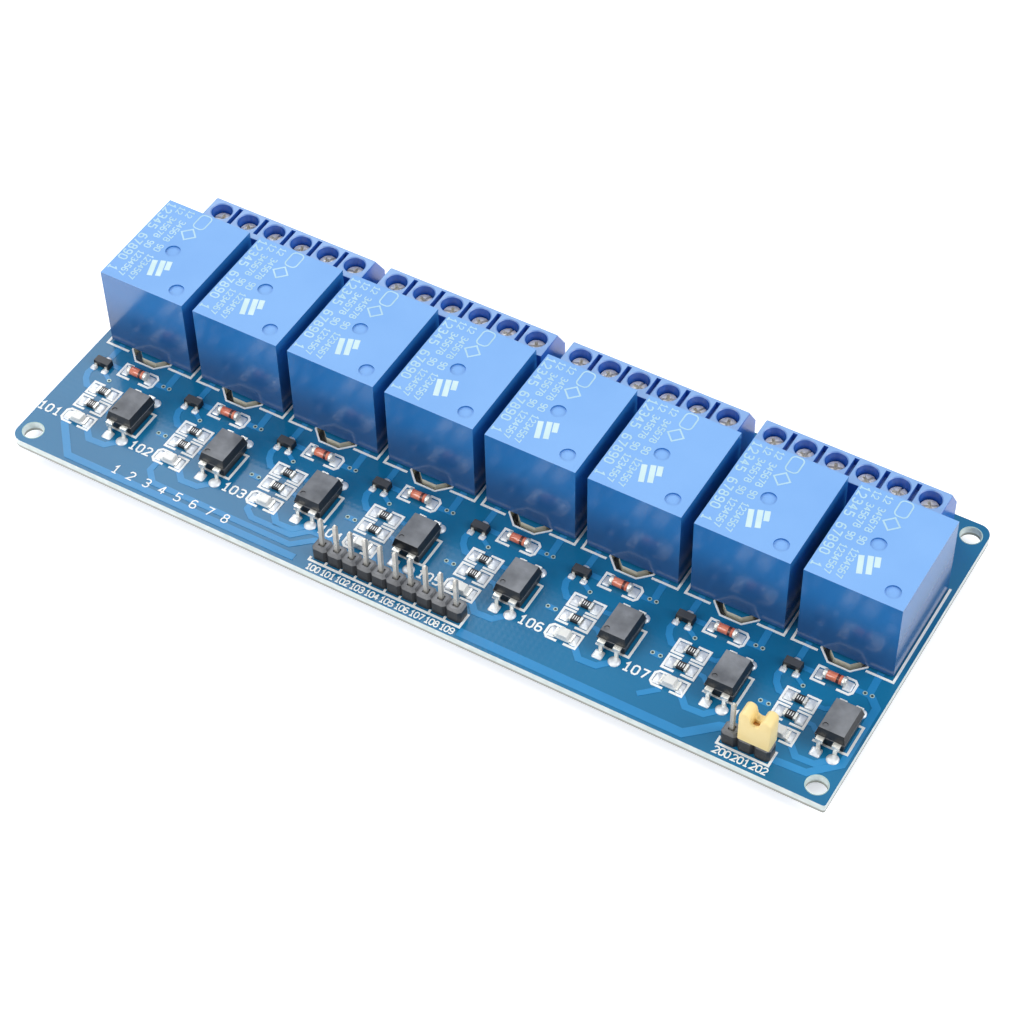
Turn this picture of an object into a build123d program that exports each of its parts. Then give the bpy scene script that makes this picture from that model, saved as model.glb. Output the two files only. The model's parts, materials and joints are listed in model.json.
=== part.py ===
from build123d import *
import os
from math import atan2, degrees, floor

# Eight-channel relay module board. Millimetres, +Z up, X along the board, +Y towards the terminal blocks.
# The origin is under the middle of the board, on the plane that the trimmed pin tips stand on.

# Circuit board
BOARD_LENGTH = 138.0
BOARD_WIDTH = 56.6
BOARD_THICKNESS = 1.6
BOARD_CORNER_RADIUS = 2.0
BOARD_SHARP_CORNER_RADIUS = 0.4
MOUNT_INSET_X = 2.5
MOUNT_INSET_Y = 2.7
MOUNT_HOLE_RADIUS = 1.6

# Length of every trimmed pin below the board
PIN_STICKOUT = 1.8

# Channels: one relay and its driver parts in each, as many as the board has room for
RELAY_GAP = 2.02
RELAY_END_ROOM = 1.45
CHANNEL_ROW_X = 0.28

# Relays
RELAY_WIDTH = 15.1
RELAY_LENGTH = 18.6
RELAY_TOP = 15.0
RELAY_Y = 5.4
RELAY_EDGE_CHAMFER = 0.35
RELAY_STANDOFF = 0.3
EJECTOR_MARK_RADIUS = 1.2
EJECTOR_MARK_DEPTH = 0.3
EJECTOR_MARK_OFFSETS = [(-0.5, 0.0), (4.9, -6.8)]
RELAY_PIN_WIDTH = 1.0
RELAY_PIN_THICKNESS = 0.5
COMMON_PIN_INSET = 2.45
COIL_PIN_BEHIND_COMMON = 2.0
CONTACT_PIN_BEHIND_COIL = 12.2
SIDE_PIN_SPACING = 12.0

# Isolation slot around the common pin of each relay
SLOT_WIDTH = 1.05
SLOT_ARM_X = 2.95
SLOT_FRONT_Y = -5.2
SLOT_CORNER_LEG = 1.5
SLOT_BACK_Y = 3.4

# Terminal blocks, as many as the board has room for
BLOCK_PITCH = 32.7
BLOCK_END_ROOM = 4.5
BLOCK_ROW_X = -0.35
WAY_COUNT = 6
WAY_PITCH = 5.0
SCREW_ROW_Y = 20.6
BLOCK_HEIGHT = 10.2
BLOCK_FRONT_DEPTH = 2.9
BLOCK_TOP_BACK_DEPTH = 2.3
BLOCK_BACK_DEPTH = 4.7
BLOCK_SHOULDER_HEIGHT = 6.4
SCREW_WELL_RADIUS = 1.7
SCREW_WELL_DEPTH = 1.55
WAY_SLIT_WIDTH = 0.75
WAY_SLIT_LENGTH = 3.7
WAY_SLIT_DEPTH = 1.5
CHAMBER_WIDTH = 3.9
CHAMBER_WALL = 0.9
CHAMBER_BACK_WALL = 2.0
CHAMBER_HEIGHT = 7.0
WIRE_ENTRY_WIDTH = 3.0
WIRE_ENTRY_LOW = 1.0
WIRE_ENTRY_HIGH = 4.6

# Clamp cages, current bars and screws inside the terminal blocks
FIT_GAP = 0.05
CAGE_WALL = 0.5
CAGE_TOP_WALL = 1.0
CAGE_LOW = 0.6
CAGE_HIGH = 6.4
BAR_WIDTH = 1.2
BAR_THICKNESS = 0.8
BAR_GAP_ABOVE = 0.3
SCREW_HEAD_RADIUS = 1.55

# Optocouplers
OPTO_OFFSET_X = 5.0
OPTO_Y = -16.2
OPTO_WIDTH = 4.6
OPTO_LENGTH = 6.4
OPTO_HEIGHT = 3.5
OPTO_STANDOFF = 0.3
OPTO_PARTING_HEIGHT = 1.75
OPTO_TOP_INSET = 0.5
OPTO_BASE_INSET = 0.25
OPTO_LEAD_SPACING = 2.54
OPTO_LEAD_REACH = 1.9
OPTO_LEAD_THICKNESS = 0.25
OPTO_LEAD_SHOULDER_WIDTH = 1.15
OPTO_LEAD_SHOULDER_DROP = 0.6
OPTO_LEAD_FOOT_WIDTH = 0.6
OPTO_LEAD_FOOT_LENGTH = 1.1

# Transistors
TRANSISTOR_OFFSET_X = -5.6
TRANSISTOR_Y = -8.95
TRANSISTOR_WIDTH = 2.9
TRANSISTOR_LENGTH = 1.3
TRANSISTOR_HEIGHT = 1.0
TRANSISTOR_STANDOFF = 0.1
TRANSISTOR_TOP_INSET = 0.12
TRANSISTOR_LEAD_SPACING = 1.9
TRANSISTOR_LEAD_WIDTH = 0.42
TRANSISTOR_LEAD_THICKNESS = 0.14
TRANSISTOR_LEAD_HEIGHT = 0.55
TRANSISTOR_LEAD_REACH = 0.6

# Diodes
DIODE_OFFSET_X = 0.6
DIODE_Y = -8.33
DIODE_LENGTH = 3.5
DIODE_RADIUS = 0.75

# Chip resistors: two in each channel, one behind the other
RESISTOR_OFFSET_X = -2.1
RESISTOR_ROWS_Y = [-13.8, -16.88]
RESISTOR_LENGTH = 2.0
RESISTOR_WIDTH = 1.25
RESISTOR_HEIGHT = 0.55
RESISTOR_CAP_LENGTH = 0.38
RESISTOR_CAP_PROUD = 0.02

# Indicator LEDs
LED_OFFSET_X = -2.1
LED_Y = -20.3
LED_LENGTH = 3.0
LED_WIDTH = 1.5
LED_BASE_HEIGHT = 0.45
LED_LENS_LENGTH = 1.9
LED_LENS_HEIGHT = 0.65
LED_LENS_TOP_INSET = 0.15

# Pin headers and the jumper cap
HEADER_PITCH = 2.54
HEADER_DEPTH = 2.5
HEADER_HEIGHT = 2.5
HEADER_NOTCH = 0.45
HEADER_PIN_SIZE = 0.64
HEADER_PIN_TOP = 8.1
HEADER_PIN_TAPER = 0.35
HEADER_PIN_TIP_INSET = 0.16
INPUT_WAYS = 10
INPUT_HEADER_X = -2.88
INPUT_HEADER_Y = -24.5
SUPPLY_WAYS = 3
SUPPLY_END_INSET = 13.66
SUPPLY_HEADER_Y = -24.45
JUMPER_WAYS = 2
JUMPER_WIDTH = 4.9
JUMPER_DEPTH = 2.6
JUMPER_HEIGHT = 6.0
JUMPER_NOTCH_WIDTH = 1.3
JUMPER_NOTCH_DEPTH = 1.9
JUMPER_EAR_FLAT = 0.1
JUMPER_NOTCH_FLAT = 0.2
JUMPER_SLIT_MARGIN = 0.15
JUMPER_SLIT_DEPTH = 0.5
JUMPER_SLIT_FORWARD = 0.32
JUMPER_SOCKET_SIZE = 0.9
JUMPER_TOP_WALL = 0.3
JUMPER_BRIDGE_WALL = 0.5
CLIP_GRIP_GAP = 0.04
CLIP_THICKNESS = 0.2
CLIP_LOW = 0.6

# Small round pieces that repeat many times are drawn with this many flat sides, to keep the part light
WELL_SIDES = 20
EJECTOR_MARK_SIDES = 14
SCREW_SIDES = 12
DIODE_SIDES = 12

# Levels and places worked out from the sizes above
board_bottom = PIN_STICKOUT
board_top = PIN_STICKOUT + BOARD_THICKNESS
ON_BASE = (Align.CENTER, Align.CENTER, Align.MIN)
channel_pitch = RELAY_WIDTH + RELAY_GAP
channel_count = 1 + floor((BOARD_LENGTH - 2 * RELAY_END_ROOM - RELAY_WIDTH) / channel_pitch)
channel_xs = [CHANNEL_ROW_X + (k - (channel_count - 1) / 2) * channel_pitch for k in range(channel_count)]
block_length = WAY_COUNT * WAY_PITCH
block_count = 1 + floor((BOARD_LENGTH - 2 * BLOCK_END_ROOM - block_length) / BLOCK_PITCH)
block_xs = [BLOCK_ROW_X + (b - (block_count - 1) / 2) * BLOCK_PITCH for b in range(block_count)]
way_offsets = [(w - (WAY_COUNT - 1) / 2) * WAY_PITCH for w in range(WAY_COUNT)]
terminal_xs = [x + dx for x in block_xs for dx in way_offsets]
input_pin_xs = [INPUT_HEADER_X + (i - (INPUT_WAYS - 1) / 2) * HEADER_PITCH for i in range(INPUT_WAYS)]
supply_header_x = BOARD_LENGTH / 2 - SUPPLY_END_INSET
supply_pin_xs = [supply_header_x + (i - (SUPPLY_WAYS - 1) / 2) * HEADER_PITCH for i in range(SUPPLY_WAYS)]
jumper_pin_xs = supply_pin_xs[-JUMPER_WAYS:]
jumper_x = sum(jumper_pin_xs) / JUMPER_WAYS
jumper_bottom = board_top + HEADER_HEIGHT
jumper_top = jumper_bottom + JUMPER_HEIGHT


def standing_box(x, y, low, high, size_x, size_y):
    """A box centred on x and y that reaches from one level to another."""
    return Pos(x, y, low) * Box(size_x, size_y, high - low, align=ON_BASE)


def flat_sided_disc(radius, height, sides):
    """A short upright round piece with flat sides, standing on its base."""
    return extrude(RegularPolygon(radius, sides), height)


def prism_along_x(points, x, width):
    """A y-z outline drawn out along X, centred on x."""
    face = make_face(Plane.YZ * Polyline(*points, close=True))
    return Pos(x - width / 2, 0, 0) * extrude(face, width, dir=(1, 0, 0))


def prism_along_y(points, y, width):
    """An x-z outline drawn out along Y, centred on y."""
    face = make_face(Plane.XZ * Polyline(*points, close=True))
    return Pos(0, y - width / 2, 0) * extrude(face, width, dir=(0, 1, 0))


def tapered_block(x, y, start, end, size_x, size_y, inset):
    """A block from one level to another whose four sides all lean in by inset."""
    base = Pos(x, y, start) * Rectangle(size_x, size_y)
    height = end - start
    lean = degrees(atan2(inset, abs(height)))
    return extrude(base, abs(height), dir=(0, 0, height), taper=lean)


def trapezoid(x, low, high, base_width, inset):
    """An x-z outline whose two ends lean in by inset."""
    half = base_width / 2
    return [(x - half, low), (x + half, low), (x + half - inset, high), (x - half + inset, high)]


def save(node, solids):
    """Write one node as a STEP file."""
    shape = solids[0] if len(solids) == 1 else Compound(children=solids)
    export_step(shape, os.path.join("parts", node + ".step"))


# Pins

def relay_pin_places(x):
    """Common, coil and contact pins of the relay at x, as x and y."""
    common_y = RELAY_Y - RELAY_LENGTH / 2 + COMMON_PIN_INSET
    coil_y = common_y + COIL_PIN_BEHIND_COMMON
    contact_y = coil_y + CONTACT_PIN_BEHIND_COIL
    places = [(x, common_y)]
    for side in (-1, 1):
        places.append((x + side * SIDE_PIN_SPACING / 2, coil_y))
        places.append((x + side * SIDE_PIN_SPACING / 2, contact_y))
    return places


relay_pin_spots = [spot for x in channel_xs for spot in relay_pin_places(x)]
chamber_front_y = SCREW_ROW_Y - BLOCK_FRONT_DEPTH + CHAMBER_WALL
terminal_pin_y = chamber_front_y + FIT_GAP + BAR_THICKNESS / 2


def through_board(spots, size_x, size_y):
    """The stretch of each pin that passes through the board."""
    return [standing_box(x, y, board_bottom, board_top, size_x, size_y) for x, y in spots]


def header_pin(x, y):
    """One square header pin with a tapered tip at its upper end."""
    taper_level = board_top + HEADER_PIN_TOP - HEADER_PIN_TAPER
    shank = standing_box(x, y, 0, taper_level, HEADER_PIN_SIZE, HEADER_PIN_SIZE)
    tip = tapered_block(x, y, taper_level, board_top + HEADER_PIN_TOP, HEADER_PIN_SIZE, HEADER_PIN_SIZE,
                        HEADER_PIN_TIP_INSET)
    return (shank + tip).solid()


# Circuit board

def slot_outline(grow, back_y):
    """The slot's centre line moved outwards by grow, closed along back_y."""
    corner = SLOT_CORNER_LEG + grow * (2 - 2 ** 0.5)
    side_x = SLOT_ARM_X + grow
    front_y = SLOT_FRONT_Y - grow
    half = [(side_x, back_y), (side_x, front_y + corner), (side_x - corner, front_y)]
    return half + [(-x, y) for x, y in reversed(half)]


def isolation_slot(x):
    """A milled slot with chamfered corners that runs round three sides of a tongue."""
    outer = make_face(Polyline(*slot_outline(SLOT_WIDTH / 2, SLOT_BACK_Y), close=True))
    inner = make_face(Polyline(*slot_outline(-SLOT_WIDTH / 2, SLOT_BACK_Y + SLOT_WIDTH), close=True))
    return Pos(x, 0, board_bottom) * extrude(outer - inner, BOARD_THICKNESS)


def board_outline():
    """A rectangle with three rounded corners and a nearly sharp one at the front right."""
    square = Rectangle(BOARD_LENGTH, BOARD_WIDTH)
    rounded = fillet(square.vertices().sort_by(lambda corner: corner.X - corner.Y)[:-1], BOARD_CORNER_RADIUS)
    front_right = rounded.vertices().sort_by(lambda corner: corner.X - corner.Y)[-1]
    return fillet(front_right, BOARD_SHARP_CORNER_RADIUS)


def circuit_board():
    outline = board_outline()
    mount_spacing_x = BOARD_LENGTH - 2 * MOUNT_INSET_X
    mount_spacing_y = BOARD_WIDTH - 2 * MOUNT_INSET_Y
    holes = GridLocations(mount_spacing_x, mount_spacing_y, 2, 2) * Circle(MOUNT_HOLE_RADIUS)
    board = Pos(0, 0, board_bottom) * extrude(outline - holes, BOARD_THICKNESS)
    cuts = [isolation_slot(x) for x in channel_xs]
    cuts += through_board(relay_pin_spots, RELAY_PIN_WIDTH, RELAY_PIN_THICKNESS)
    cuts += through_board([(x, terminal_pin_y) for x in terminal_xs], BAR_WIDTH, BAR_THICKNESS)
    header_spots = [(x, INPUT_HEADER_Y) for x in input_pin_xs]
    header_spots += [(x, SUPPLY_HEADER_Y) for x in supply_pin_xs]
    cuts += through_board(header_spots, HEADER_PIN_SIZE, HEADER_PIN_SIZE)
    return (board - cuts).solid()


# Relays

def relay(x):
    """A sealed can held clear of the board by its pins, with two round ejector marks in its top."""
    low = board_top + RELAY_STANDOFF
    high = board_top + RELAY_TOP
    can = standing_box(x, RELAY_Y, low, high, RELAY_WIDTH, RELAY_LENGTH)
    top_edges = can.faces().sort_by(Axis.Z)[-1].edges()
    can = chamfer(can.edges().filter_by(Axis.Z) + top_edges, RELAY_EDGE_CHAMFER)
    for dx, dy in EJECTOR_MARK_OFFSETS:
        mark = flat_sided_disc(EJECTOR_MARK_RADIUS, EJECTOR_MARK_DEPTH, EJECTOR_MARK_SIDES)
        can -= Pos(x + dx, RELAY_Y + dy, high - EJECTOR_MARK_DEPTH) * mark
    return can.solid()


def relay_pins():
    high = board_top + RELAY_STANDOFF
    return [standing_box(x, y, 0, high, RELAY_PIN_WIDTH, RELAY_PIN_THICKNESS) for x, y in relay_pin_spots]


# Terminal blocks

chamber_back_y = SCREW_ROW_Y + BLOCK_BACK_DEPTH - CHAMBER_BACK_WALL
chamber_depth = chamber_back_y - chamber_front_y
cage_front_y = terminal_pin_y + BAR_THICKNESS / 2 + FIT_GAP
cage_back_y = chamber_back_y - FIT_GAP
cage_width = CHAMBER_WIDTH - 2 * FIT_GAP
cage_low = board_top + CAGE_LOW
cage_high = board_top + CAGE_HIGH


def terminal_block(x):
    """A moulded six-way block: screw wells and slits in the top, clamp chambers and wire entries behind."""
    top = board_top + BLOCK_HEIGHT
    back_y = SCREW_ROW_Y + BLOCK_BACK_DEPTH
    front_y = SCREW_ROW_Y - BLOCK_FRONT_DEPTH
    profile = [
        (front_y, board_top),
        (front_y, top),
        (SCREW_ROW_Y + BLOCK_TOP_BACK_DEPTH, top),
        (back_y, board_top + BLOCK_SHOULDER_HEIGHT),
        (back_y, board_top),
    ]
    block = prism_along_x(profile, x, block_length)
    cuts = []
    for dx in way_offsets:
        chamber = standing_box(x + dx, (chamber_front_y + chamber_back_y) / 2, board_top,
                               board_top + CHAMBER_HEIGHT, CHAMBER_WIDTH, chamber_depth)
        entry = standing_box(x + dx, back_y, board_top + WIRE_ENTRY_LOW, board_top + WIRE_ENTRY_HIGH,
                             WIRE_ENTRY_WIDTH, 2 * CHAMBER_BACK_WALL)
        well = flat_sided_disc(SCREW_WELL_RADIUS, BLOCK_HEIGHT - CHAMBER_HEIGHT, WELL_SIDES)
        cuts += [chamber, entry, Pos(x + dx, SCREW_ROW_Y, board_top + CHAMBER_HEIGHT) * well]
    for left, right in zip(way_offsets, way_offsets[1:]):
        cuts.append(standing_box(x + (left + right) / 2, SCREW_ROW_Y, top - WAY_SLIT_DEPTH, top,
                                 WAY_SLIT_WIDTH, WAY_SLIT_LENGTH))
    return (block - cuts).solid()


def clamp_cage(x):
    """A rectangular metal cage, open along Y, that rises round the current bar as its screw is turned."""
    middle_y = (cage_front_y + cage_back_y) / 2
    depth = cage_back_y - cage_front_y
    cage = standing_box(x, middle_y, cage_low, cage_high, cage_width, depth)
    cage -= standing_box(x, middle_y, cage_low + CAGE_WALL, cage_high - CAGE_TOP_WALL,
                         cage_width - 2 * CAGE_WALL, 2 * depth)
    return cage.solid()


def current_bar(x):
    """A flat bar through the cage, bent down at the front into the solder pin."""
    bar_high = cage_high - CAGE_TOP_WALL - BAR_GAP_ABOVE
    bar_low = bar_high - BAR_THICKNESS
    bar_front_y = terminal_pin_y - BAR_THICKNESS / 2
    outline = [
        (bar_front_y, 0),
        (bar_front_y, bar_high),
        (cage_back_y, bar_high),
        (cage_back_y, bar_low),
        (bar_front_y + BAR_THICKNESS, bar_low),
        (bar_front_y + BAR_THICKNESS, 0),
    ]
    return prism_along_x(outline, x, BAR_WIDTH).solid()


def terminal_screw(x):
    """A screw head that stands on the top of its cage."""
    head_top = board_top + BLOCK_HEIGHT - SCREW_WELL_DEPTH
    head = flat_sided_disc(SCREW_HEAD_RADIUS, head_top - cage_high, SCREW_SIDES)
    return (Pos(x, SCREW_ROW_Y, cage_high) * head).solid()


# Optocouplers

opto_low = board_top + OPTO_STANDOFF
opto_parting = opto_low + OPTO_PARTING_HEIGHT


def optocoupler(x):
    """A moulded body, widest at the parting line where the leads come out."""
    opto_high = opto_low + OPTO_HEIGHT
    lower = tapered_block(x, OPTO_Y, opto_parting, opto_low, OPTO_WIDTH, OPTO_LENGTH, OPTO_BASE_INSET)
    upper = tapered_block(x, OPTO_Y, opto_parting, opto_high, OPTO_WIDTH, OPTO_LENGTH, OPTO_TOP_INSET)
    return (lower + upper).solid()


def opto_lead(x, end):
    """One bent lead: a wide shoulder at the body, and a narrow leg down to a foot on the board."""
    root = OPTO_LENGTH / 2
    knee = root + OPTO_LEAD_REACH - OPTO_LEAD_FOOT_LENGTH
    tip = root + OPTO_LEAD_REACH
    thick = OPTO_LEAD_THICKNESS
    shoulder_top = opto_parting + thick / 2
    shoulder = [
        (root, shoulder_top - thick),
        (root, shoulder_top),
        (knee, shoulder_top),
        (knee, shoulder_top - OPTO_LEAD_SHOULDER_DROP),
        (knee - thick, shoulder_top - OPTO_LEAD_SHOULDER_DROP),
        (knee - thick, shoulder_top - thick),
    ]
    leg = [
        (knee - thick, shoulder_top - OPTO_LEAD_SHOULDER_DROP),
        (knee, shoulder_top - OPTO_LEAD_SHOULDER_DROP),
        (knee, board_top + thick),
        (tip, board_top + thick),
        (tip, board_top),
        (knee - thick, board_top),
    ]
    place = [[(OPTO_Y + end * dy, z) for dy, z in part] for part in (shoulder, leg)]
    lead = prism_along_x(place[0], x, OPTO_LEAD_SHOULDER_WIDTH)
    lead += prism_along_x(place[1], x, OPTO_LEAD_FOOT_WIDTH)
    return lead.solid()


def opto_leads():
    leads = []
    for x in channel_xs:
        for side in (-1, 1):
            lead_x = x + OPTO_OFFSET_X + side * OPTO_LEAD_SPACING / 2
            leads += [opto_lead(lead_x, end) for end in (-1, 1)]
    return leads


# Transistors

def transistor(x):
    """A small moulded body whose ends lean in."""
    low = board_top + TRANSISTOR_STANDOFF
    outline = trapezoid(x + TRANSISTOR_OFFSET_X, low, low + TRANSISTOR_HEIGHT, TRANSISTOR_WIDTH,
                        TRANSISTOR_TOP_INSET)
    return prism_along_y(outline, TRANSISTOR_Y, TRANSISTOR_LENGTH).solid()


def transistor_lead(x, end):
    """One bent lead from the side of the body down to a foot on the board."""
    root = TRANSISTOR_LENGTH / 2
    tip = root + TRANSISTOR_LEAD_REACH
    thick = TRANSISTOR_LEAD_THICKNESS
    outline = [
        (root, board_top),
        (root, board_top + TRANSISTOR_LEAD_HEIGHT),
        (root + thick, board_top + TRANSISTOR_LEAD_HEIGHT),
        (root + thick, board_top + thick),
        (tip, board_top + thick),
        (tip, board_top),
    ]
    return prism_along_x([(TRANSISTOR_Y + end * dy, z) for dy, z in outline], x, TRANSISTOR_LEAD_WIDTH).solid()


def transistor_leads():
    leads = []
    for x in channel_xs:
        middle_x = x + TRANSISTOR_OFFSET_X
        leads += [transistor_lead(middle_x + side * TRANSISTOR_LEAD_SPACING / 2, -1) for side in (-1, 1)]
        leads.append(transistor_lead(middle_x, 1))
    return leads


# Diodes

def diode(x):
    """A sealed glass cylinder with its two metal ends, lying along X."""
    start = x + DIODE_OFFSET_X - DIODE_LENGTH / 2
    lying = Pos(start, DIODE_Y, board_top + DIODE_RADIUS) * Rot(0, 90, 0) * Rot(0, 0, 180 / DIODE_SIDES)
    round_body = extrude(RegularPolygon(DIODE_RADIUS, DIODE_SIDES, major_radius=False), DIODE_LENGTH)
    return (lying * round_body).solid()


# Chip resistors

resistor_spots = [(x + RESISTOR_OFFSET_X, y) for x in channel_xs for y in RESISTOR_ROWS_Y]


def resistor_body(x, y):
    return standing_box(x, y, board_top + RESISTOR_CAP_PROUD, board_top + RESISTOR_HEIGHT,
                        RESISTOR_LENGTH - 2 * RESISTOR_CAP_LENGTH, RESISTOR_WIDTH)


def resistor_caps(x, y):
    reach = (RESISTOR_LENGTH - RESISTOR_CAP_LENGTH) / 2
    high = board_top + RESISTOR_HEIGHT + RESISTOR_CAP_PROUD
    width = RESISTOR_WIDTH + 2 * RESISTOR_CAP_PROUD
    return [standing_box(x + side * reach, y, board_top, high, RESISTOR_CAP_LENGTH, width)
            for side in (-1, 1)]


# Indicator LEDs

def led_base(x):
    return standing_box(x + LED_OFFSET_X, LED_Y, board_top, board_top + LED_BASE_HEIGHT, LED_LENGTH, LED_WIDTH)


def led_lens(x):
    """A clear moulded lens with sloping ends."""
    low = board_top + LED_BASE_HEIGHT
    outline = trapezoid(x + LED_OFFSET_X, low, low + LED_LENS_HEIGHT, LED_LENS_LENGTH, LED_LENS_TOP_INSET)
    return prism_along_y(outline, LED_Y, LED_WIDTH).solid()


# Pin headers

def header_body(pin_xs, y):
    """A moulded strip, notched at both sides between one pin and the next, with a hole for each pin."""
    half_pitch = HEADER_PITCH / 2
    half_depth = HEADER_DEPTH / 2
    front = []
    for x in pin_xs:
        front += [
            (x - half_pitch, y - half_depth + HEADER_NOTCH),
            (x - half_pitch + HEADER_NOTCH, y - half_depth),
            (x + half_pitch - HEADER_NOTCH, y - half_depth),
        ]
    front.append((pin_xs[-1] + half_pitch, y - half_depth + HEADER_NOTCH))
    back = [(px, 2 * y - py) for px, py in reversed(front)]
    strip = make_face(Polyline(*front, *back, close=True))
    pin_holes = [Pos(x, y) * Rectangle(HEADER_PIN_SIZE, HEADER_PIN_SIZE) for x in pin_xs]
    return (Pos(0, 0, board_top) * extrude(strip - pin_holes, HEADER_HEIGHT)).solid()


# Jumper cap

def jumper_cap():
    """A two-way cap with two round ears: a pocket and pin sockets below, a slit to the clip between the ears."""
    cap = standing_box(jumper_x, SUPPLY_HEADER_Y, jumper_bottom, jumper_top, JUMPER_WIDTH, JUMPER_DEPTH)
    notch_floor = jumper_top - JUMPER_NOTCH_DEPTH
    cap -= standing_box(jumper_x, SUPPLY_HEADER_Y, notch_floor, jumper_top, JUMPER_NOTCH_WIDTH, JUMPER_DEPTH)
    ear_edges = cap.edges().filter_by(Axis.Y).group_by(Axis.Z)[-1]
    ear_width = (JUMPER_WIDTH - JUMPER_NOTCH_WIDTH) / 2
    cap = fillet(ear_edges, (ear_width - JUMPER_EAR_FLAT) / 2)
    notch_edges = cap.edges().filter_by(Axis.Y).filter_by_position(Axis.Z, notch_floor, notch_floor)
    cap = fillet(notch_edges, (JUMPER_NOTCH_WIDTH - JUMPER_NOTCH_FLAT) / 2)
    pocket_high = notch_floor - JUMPER_BRIDGE_WALL
    pocket_width = HEADER_PITCH + JUMPER_SOCKET_SIZE
    pocket_depth = HEADER_PIN_SIZE + 2 * (CLIP_GRIP_GAP + CLIP_THICKNESS + FIT_GAP)
    cap -= standing_box(jumper_x, SUPPLY_HEADER_Y, jumper_bottom, pocket_high, pocket_width, pocket_depth)
    cap -= standing_box(jumper_x, SUPPLY_HEADER_Y - JUMPER_SLIT_FORWARD, pocket_high, jumper_top,
                        JUMPER_NOTCH_WIDTH - 2 * JUMPER_SLIT_MARGIN, JUMPER_SLIT_DEPTH)
    for x in jumper_pin_xs:
        cap -= standing_box(x, SUPPLY_HEADER_Y, jumper_bottom, jumper_top - JUMPER_TOP_WALL,
                            JUMPER_SOCKET_SIZE, JUMPER_SOCKET_SIZE)
    return cap.solid()


def jumper_clip():
    """A folded metal clip: two cheeks that grip both pins, joined by a bridge between the pins."""
    high = jumper_top - JUMPER_NOTCH_DEPTH - JUMPER_BRIDGE_WALL
    cheek_y = HEADER_PIN_SIZE / 2 + CLIP_GRIP_GAP + CLIP_THICKNESS / 2
    cheek_width = HEADER_PITCH + HEADER_PIN_SIZE
    bridge_width = HEADER_PITCH - HEADER_PIN_SIZE - 2 * FIT_GAP
    clip = standing_box(jumper_x, SUPPLY_HEADER_Y, high - CLIP_THICKNESS, high, bridge_width, 2 * cheek_y)
    for side in (-1, 1):
        clip += standing_box(jumper_x, SUPPLY_HEADER_Y + side * cheek_y, jumper_bottom + CLIP_LOW, high,
                             cheek_width, CLIP_THICKNESS)
    return clip.solid()


os.makedirs("parts", exist_ok=True)

save("circuit_board", [circuit_board()])
for number, x in enumerate(channel_xs, start=1):
    save(f"relay_{number}", [relay(x)])
    save(f"optocoupler_{number}", [optocoupler(x + OPTO_OFFSET_X)])
    save(f"transistor_{number}", [transistor(x)])
    save(f"diode_{number}", [diode(x)])
    save(f"led_lens_{number}", [led_lens(x)])

save("terminal_blocks", [terminal_block(x) for x in block_xs])
save("relay_pins", relay_pins())
save("terminal_screws", [terminal_screw(x) for x in terminal_xs])
save("terminal_cages", [clamp_cage(x) for x in terminal_xs])
save("terminal_bars", [current_bar(x) for x in terminal_xs])
save("optocoupler_leads", opto_leads())
save("transistor_leads", transistor_leads())
save("resistor_bodies", [resistor_body(*spot) for spot in resistor_spots])
save("resistor_caps", [cap for spot in resistor_spots for cap in resistor_caps(*spot)])
save("led_bases", [led_base(x) for x in channel_xs])
save("input_header", [header_body(input_pin_xs, INPUT_HEADER_Y)])
save("input_header_pins", [header_pin(x, INPUT_HEADER_Y) for x in input_pin_xs])
save("supply_header", [header_body(supply_pin_xs, SUPPLY_HEADER_Y)])
save("supply_header_pins", [header_pin(x, SUPPLY_HEADER_Y) for x in supply_pin_xs])
save("jumper_cap", [jumper_cap()])
save("jumper_clip", [jumper_clip()])
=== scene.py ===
import json
import math

import bmesh
import bpy
from mathutils import Euler, Matrix, Vector


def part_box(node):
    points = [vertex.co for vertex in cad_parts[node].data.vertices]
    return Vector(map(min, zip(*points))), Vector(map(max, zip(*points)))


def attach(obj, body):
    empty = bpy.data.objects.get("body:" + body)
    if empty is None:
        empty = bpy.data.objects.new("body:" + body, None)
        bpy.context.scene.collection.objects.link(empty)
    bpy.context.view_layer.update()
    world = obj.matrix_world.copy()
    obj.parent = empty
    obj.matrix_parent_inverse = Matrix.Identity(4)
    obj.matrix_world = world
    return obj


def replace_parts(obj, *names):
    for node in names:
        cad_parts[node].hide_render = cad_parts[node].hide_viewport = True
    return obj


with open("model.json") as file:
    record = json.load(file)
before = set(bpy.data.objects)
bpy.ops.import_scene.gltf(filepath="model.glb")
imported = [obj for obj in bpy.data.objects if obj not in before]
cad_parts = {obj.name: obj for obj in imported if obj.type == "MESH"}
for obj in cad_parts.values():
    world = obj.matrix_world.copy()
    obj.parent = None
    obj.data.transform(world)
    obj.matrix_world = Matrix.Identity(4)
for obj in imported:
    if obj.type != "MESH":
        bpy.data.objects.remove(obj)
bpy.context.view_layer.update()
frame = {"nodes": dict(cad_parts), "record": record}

# Circuit board
# A fibreglass laminate coated with glossy blue lacquer on both sides and routed to shape.
# Its edges show the pale bare laminate, greyer below a line near the bottom, and painted a creamier tone in
# the slots as painted light on their walls.
MM = 0.001
LACQUER = ((20, 108, 154), (25, 116, 162))
LACQUER_MIRROR = 0.25
LACQUER_ROUGHNESS = (0.12, 0.2)
WEAVE_SCALE = 330.0
WEAVE_DEPTH = 0.006
LAMINATE = ((238, 247, 247), (222, 234, 232))
# The edges turn this greyer colour below a line near the bottom.
LOWER_LAMINATE = (166, 168, 160)
LOWER_TONE_LINE = 2.25
LOWER_TONE_BLUR = 0.15
# The slot walls are painted this creamier tone as painted light.
SLOT_PAINTED_LIGHT = (236, 233, 216)
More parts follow.
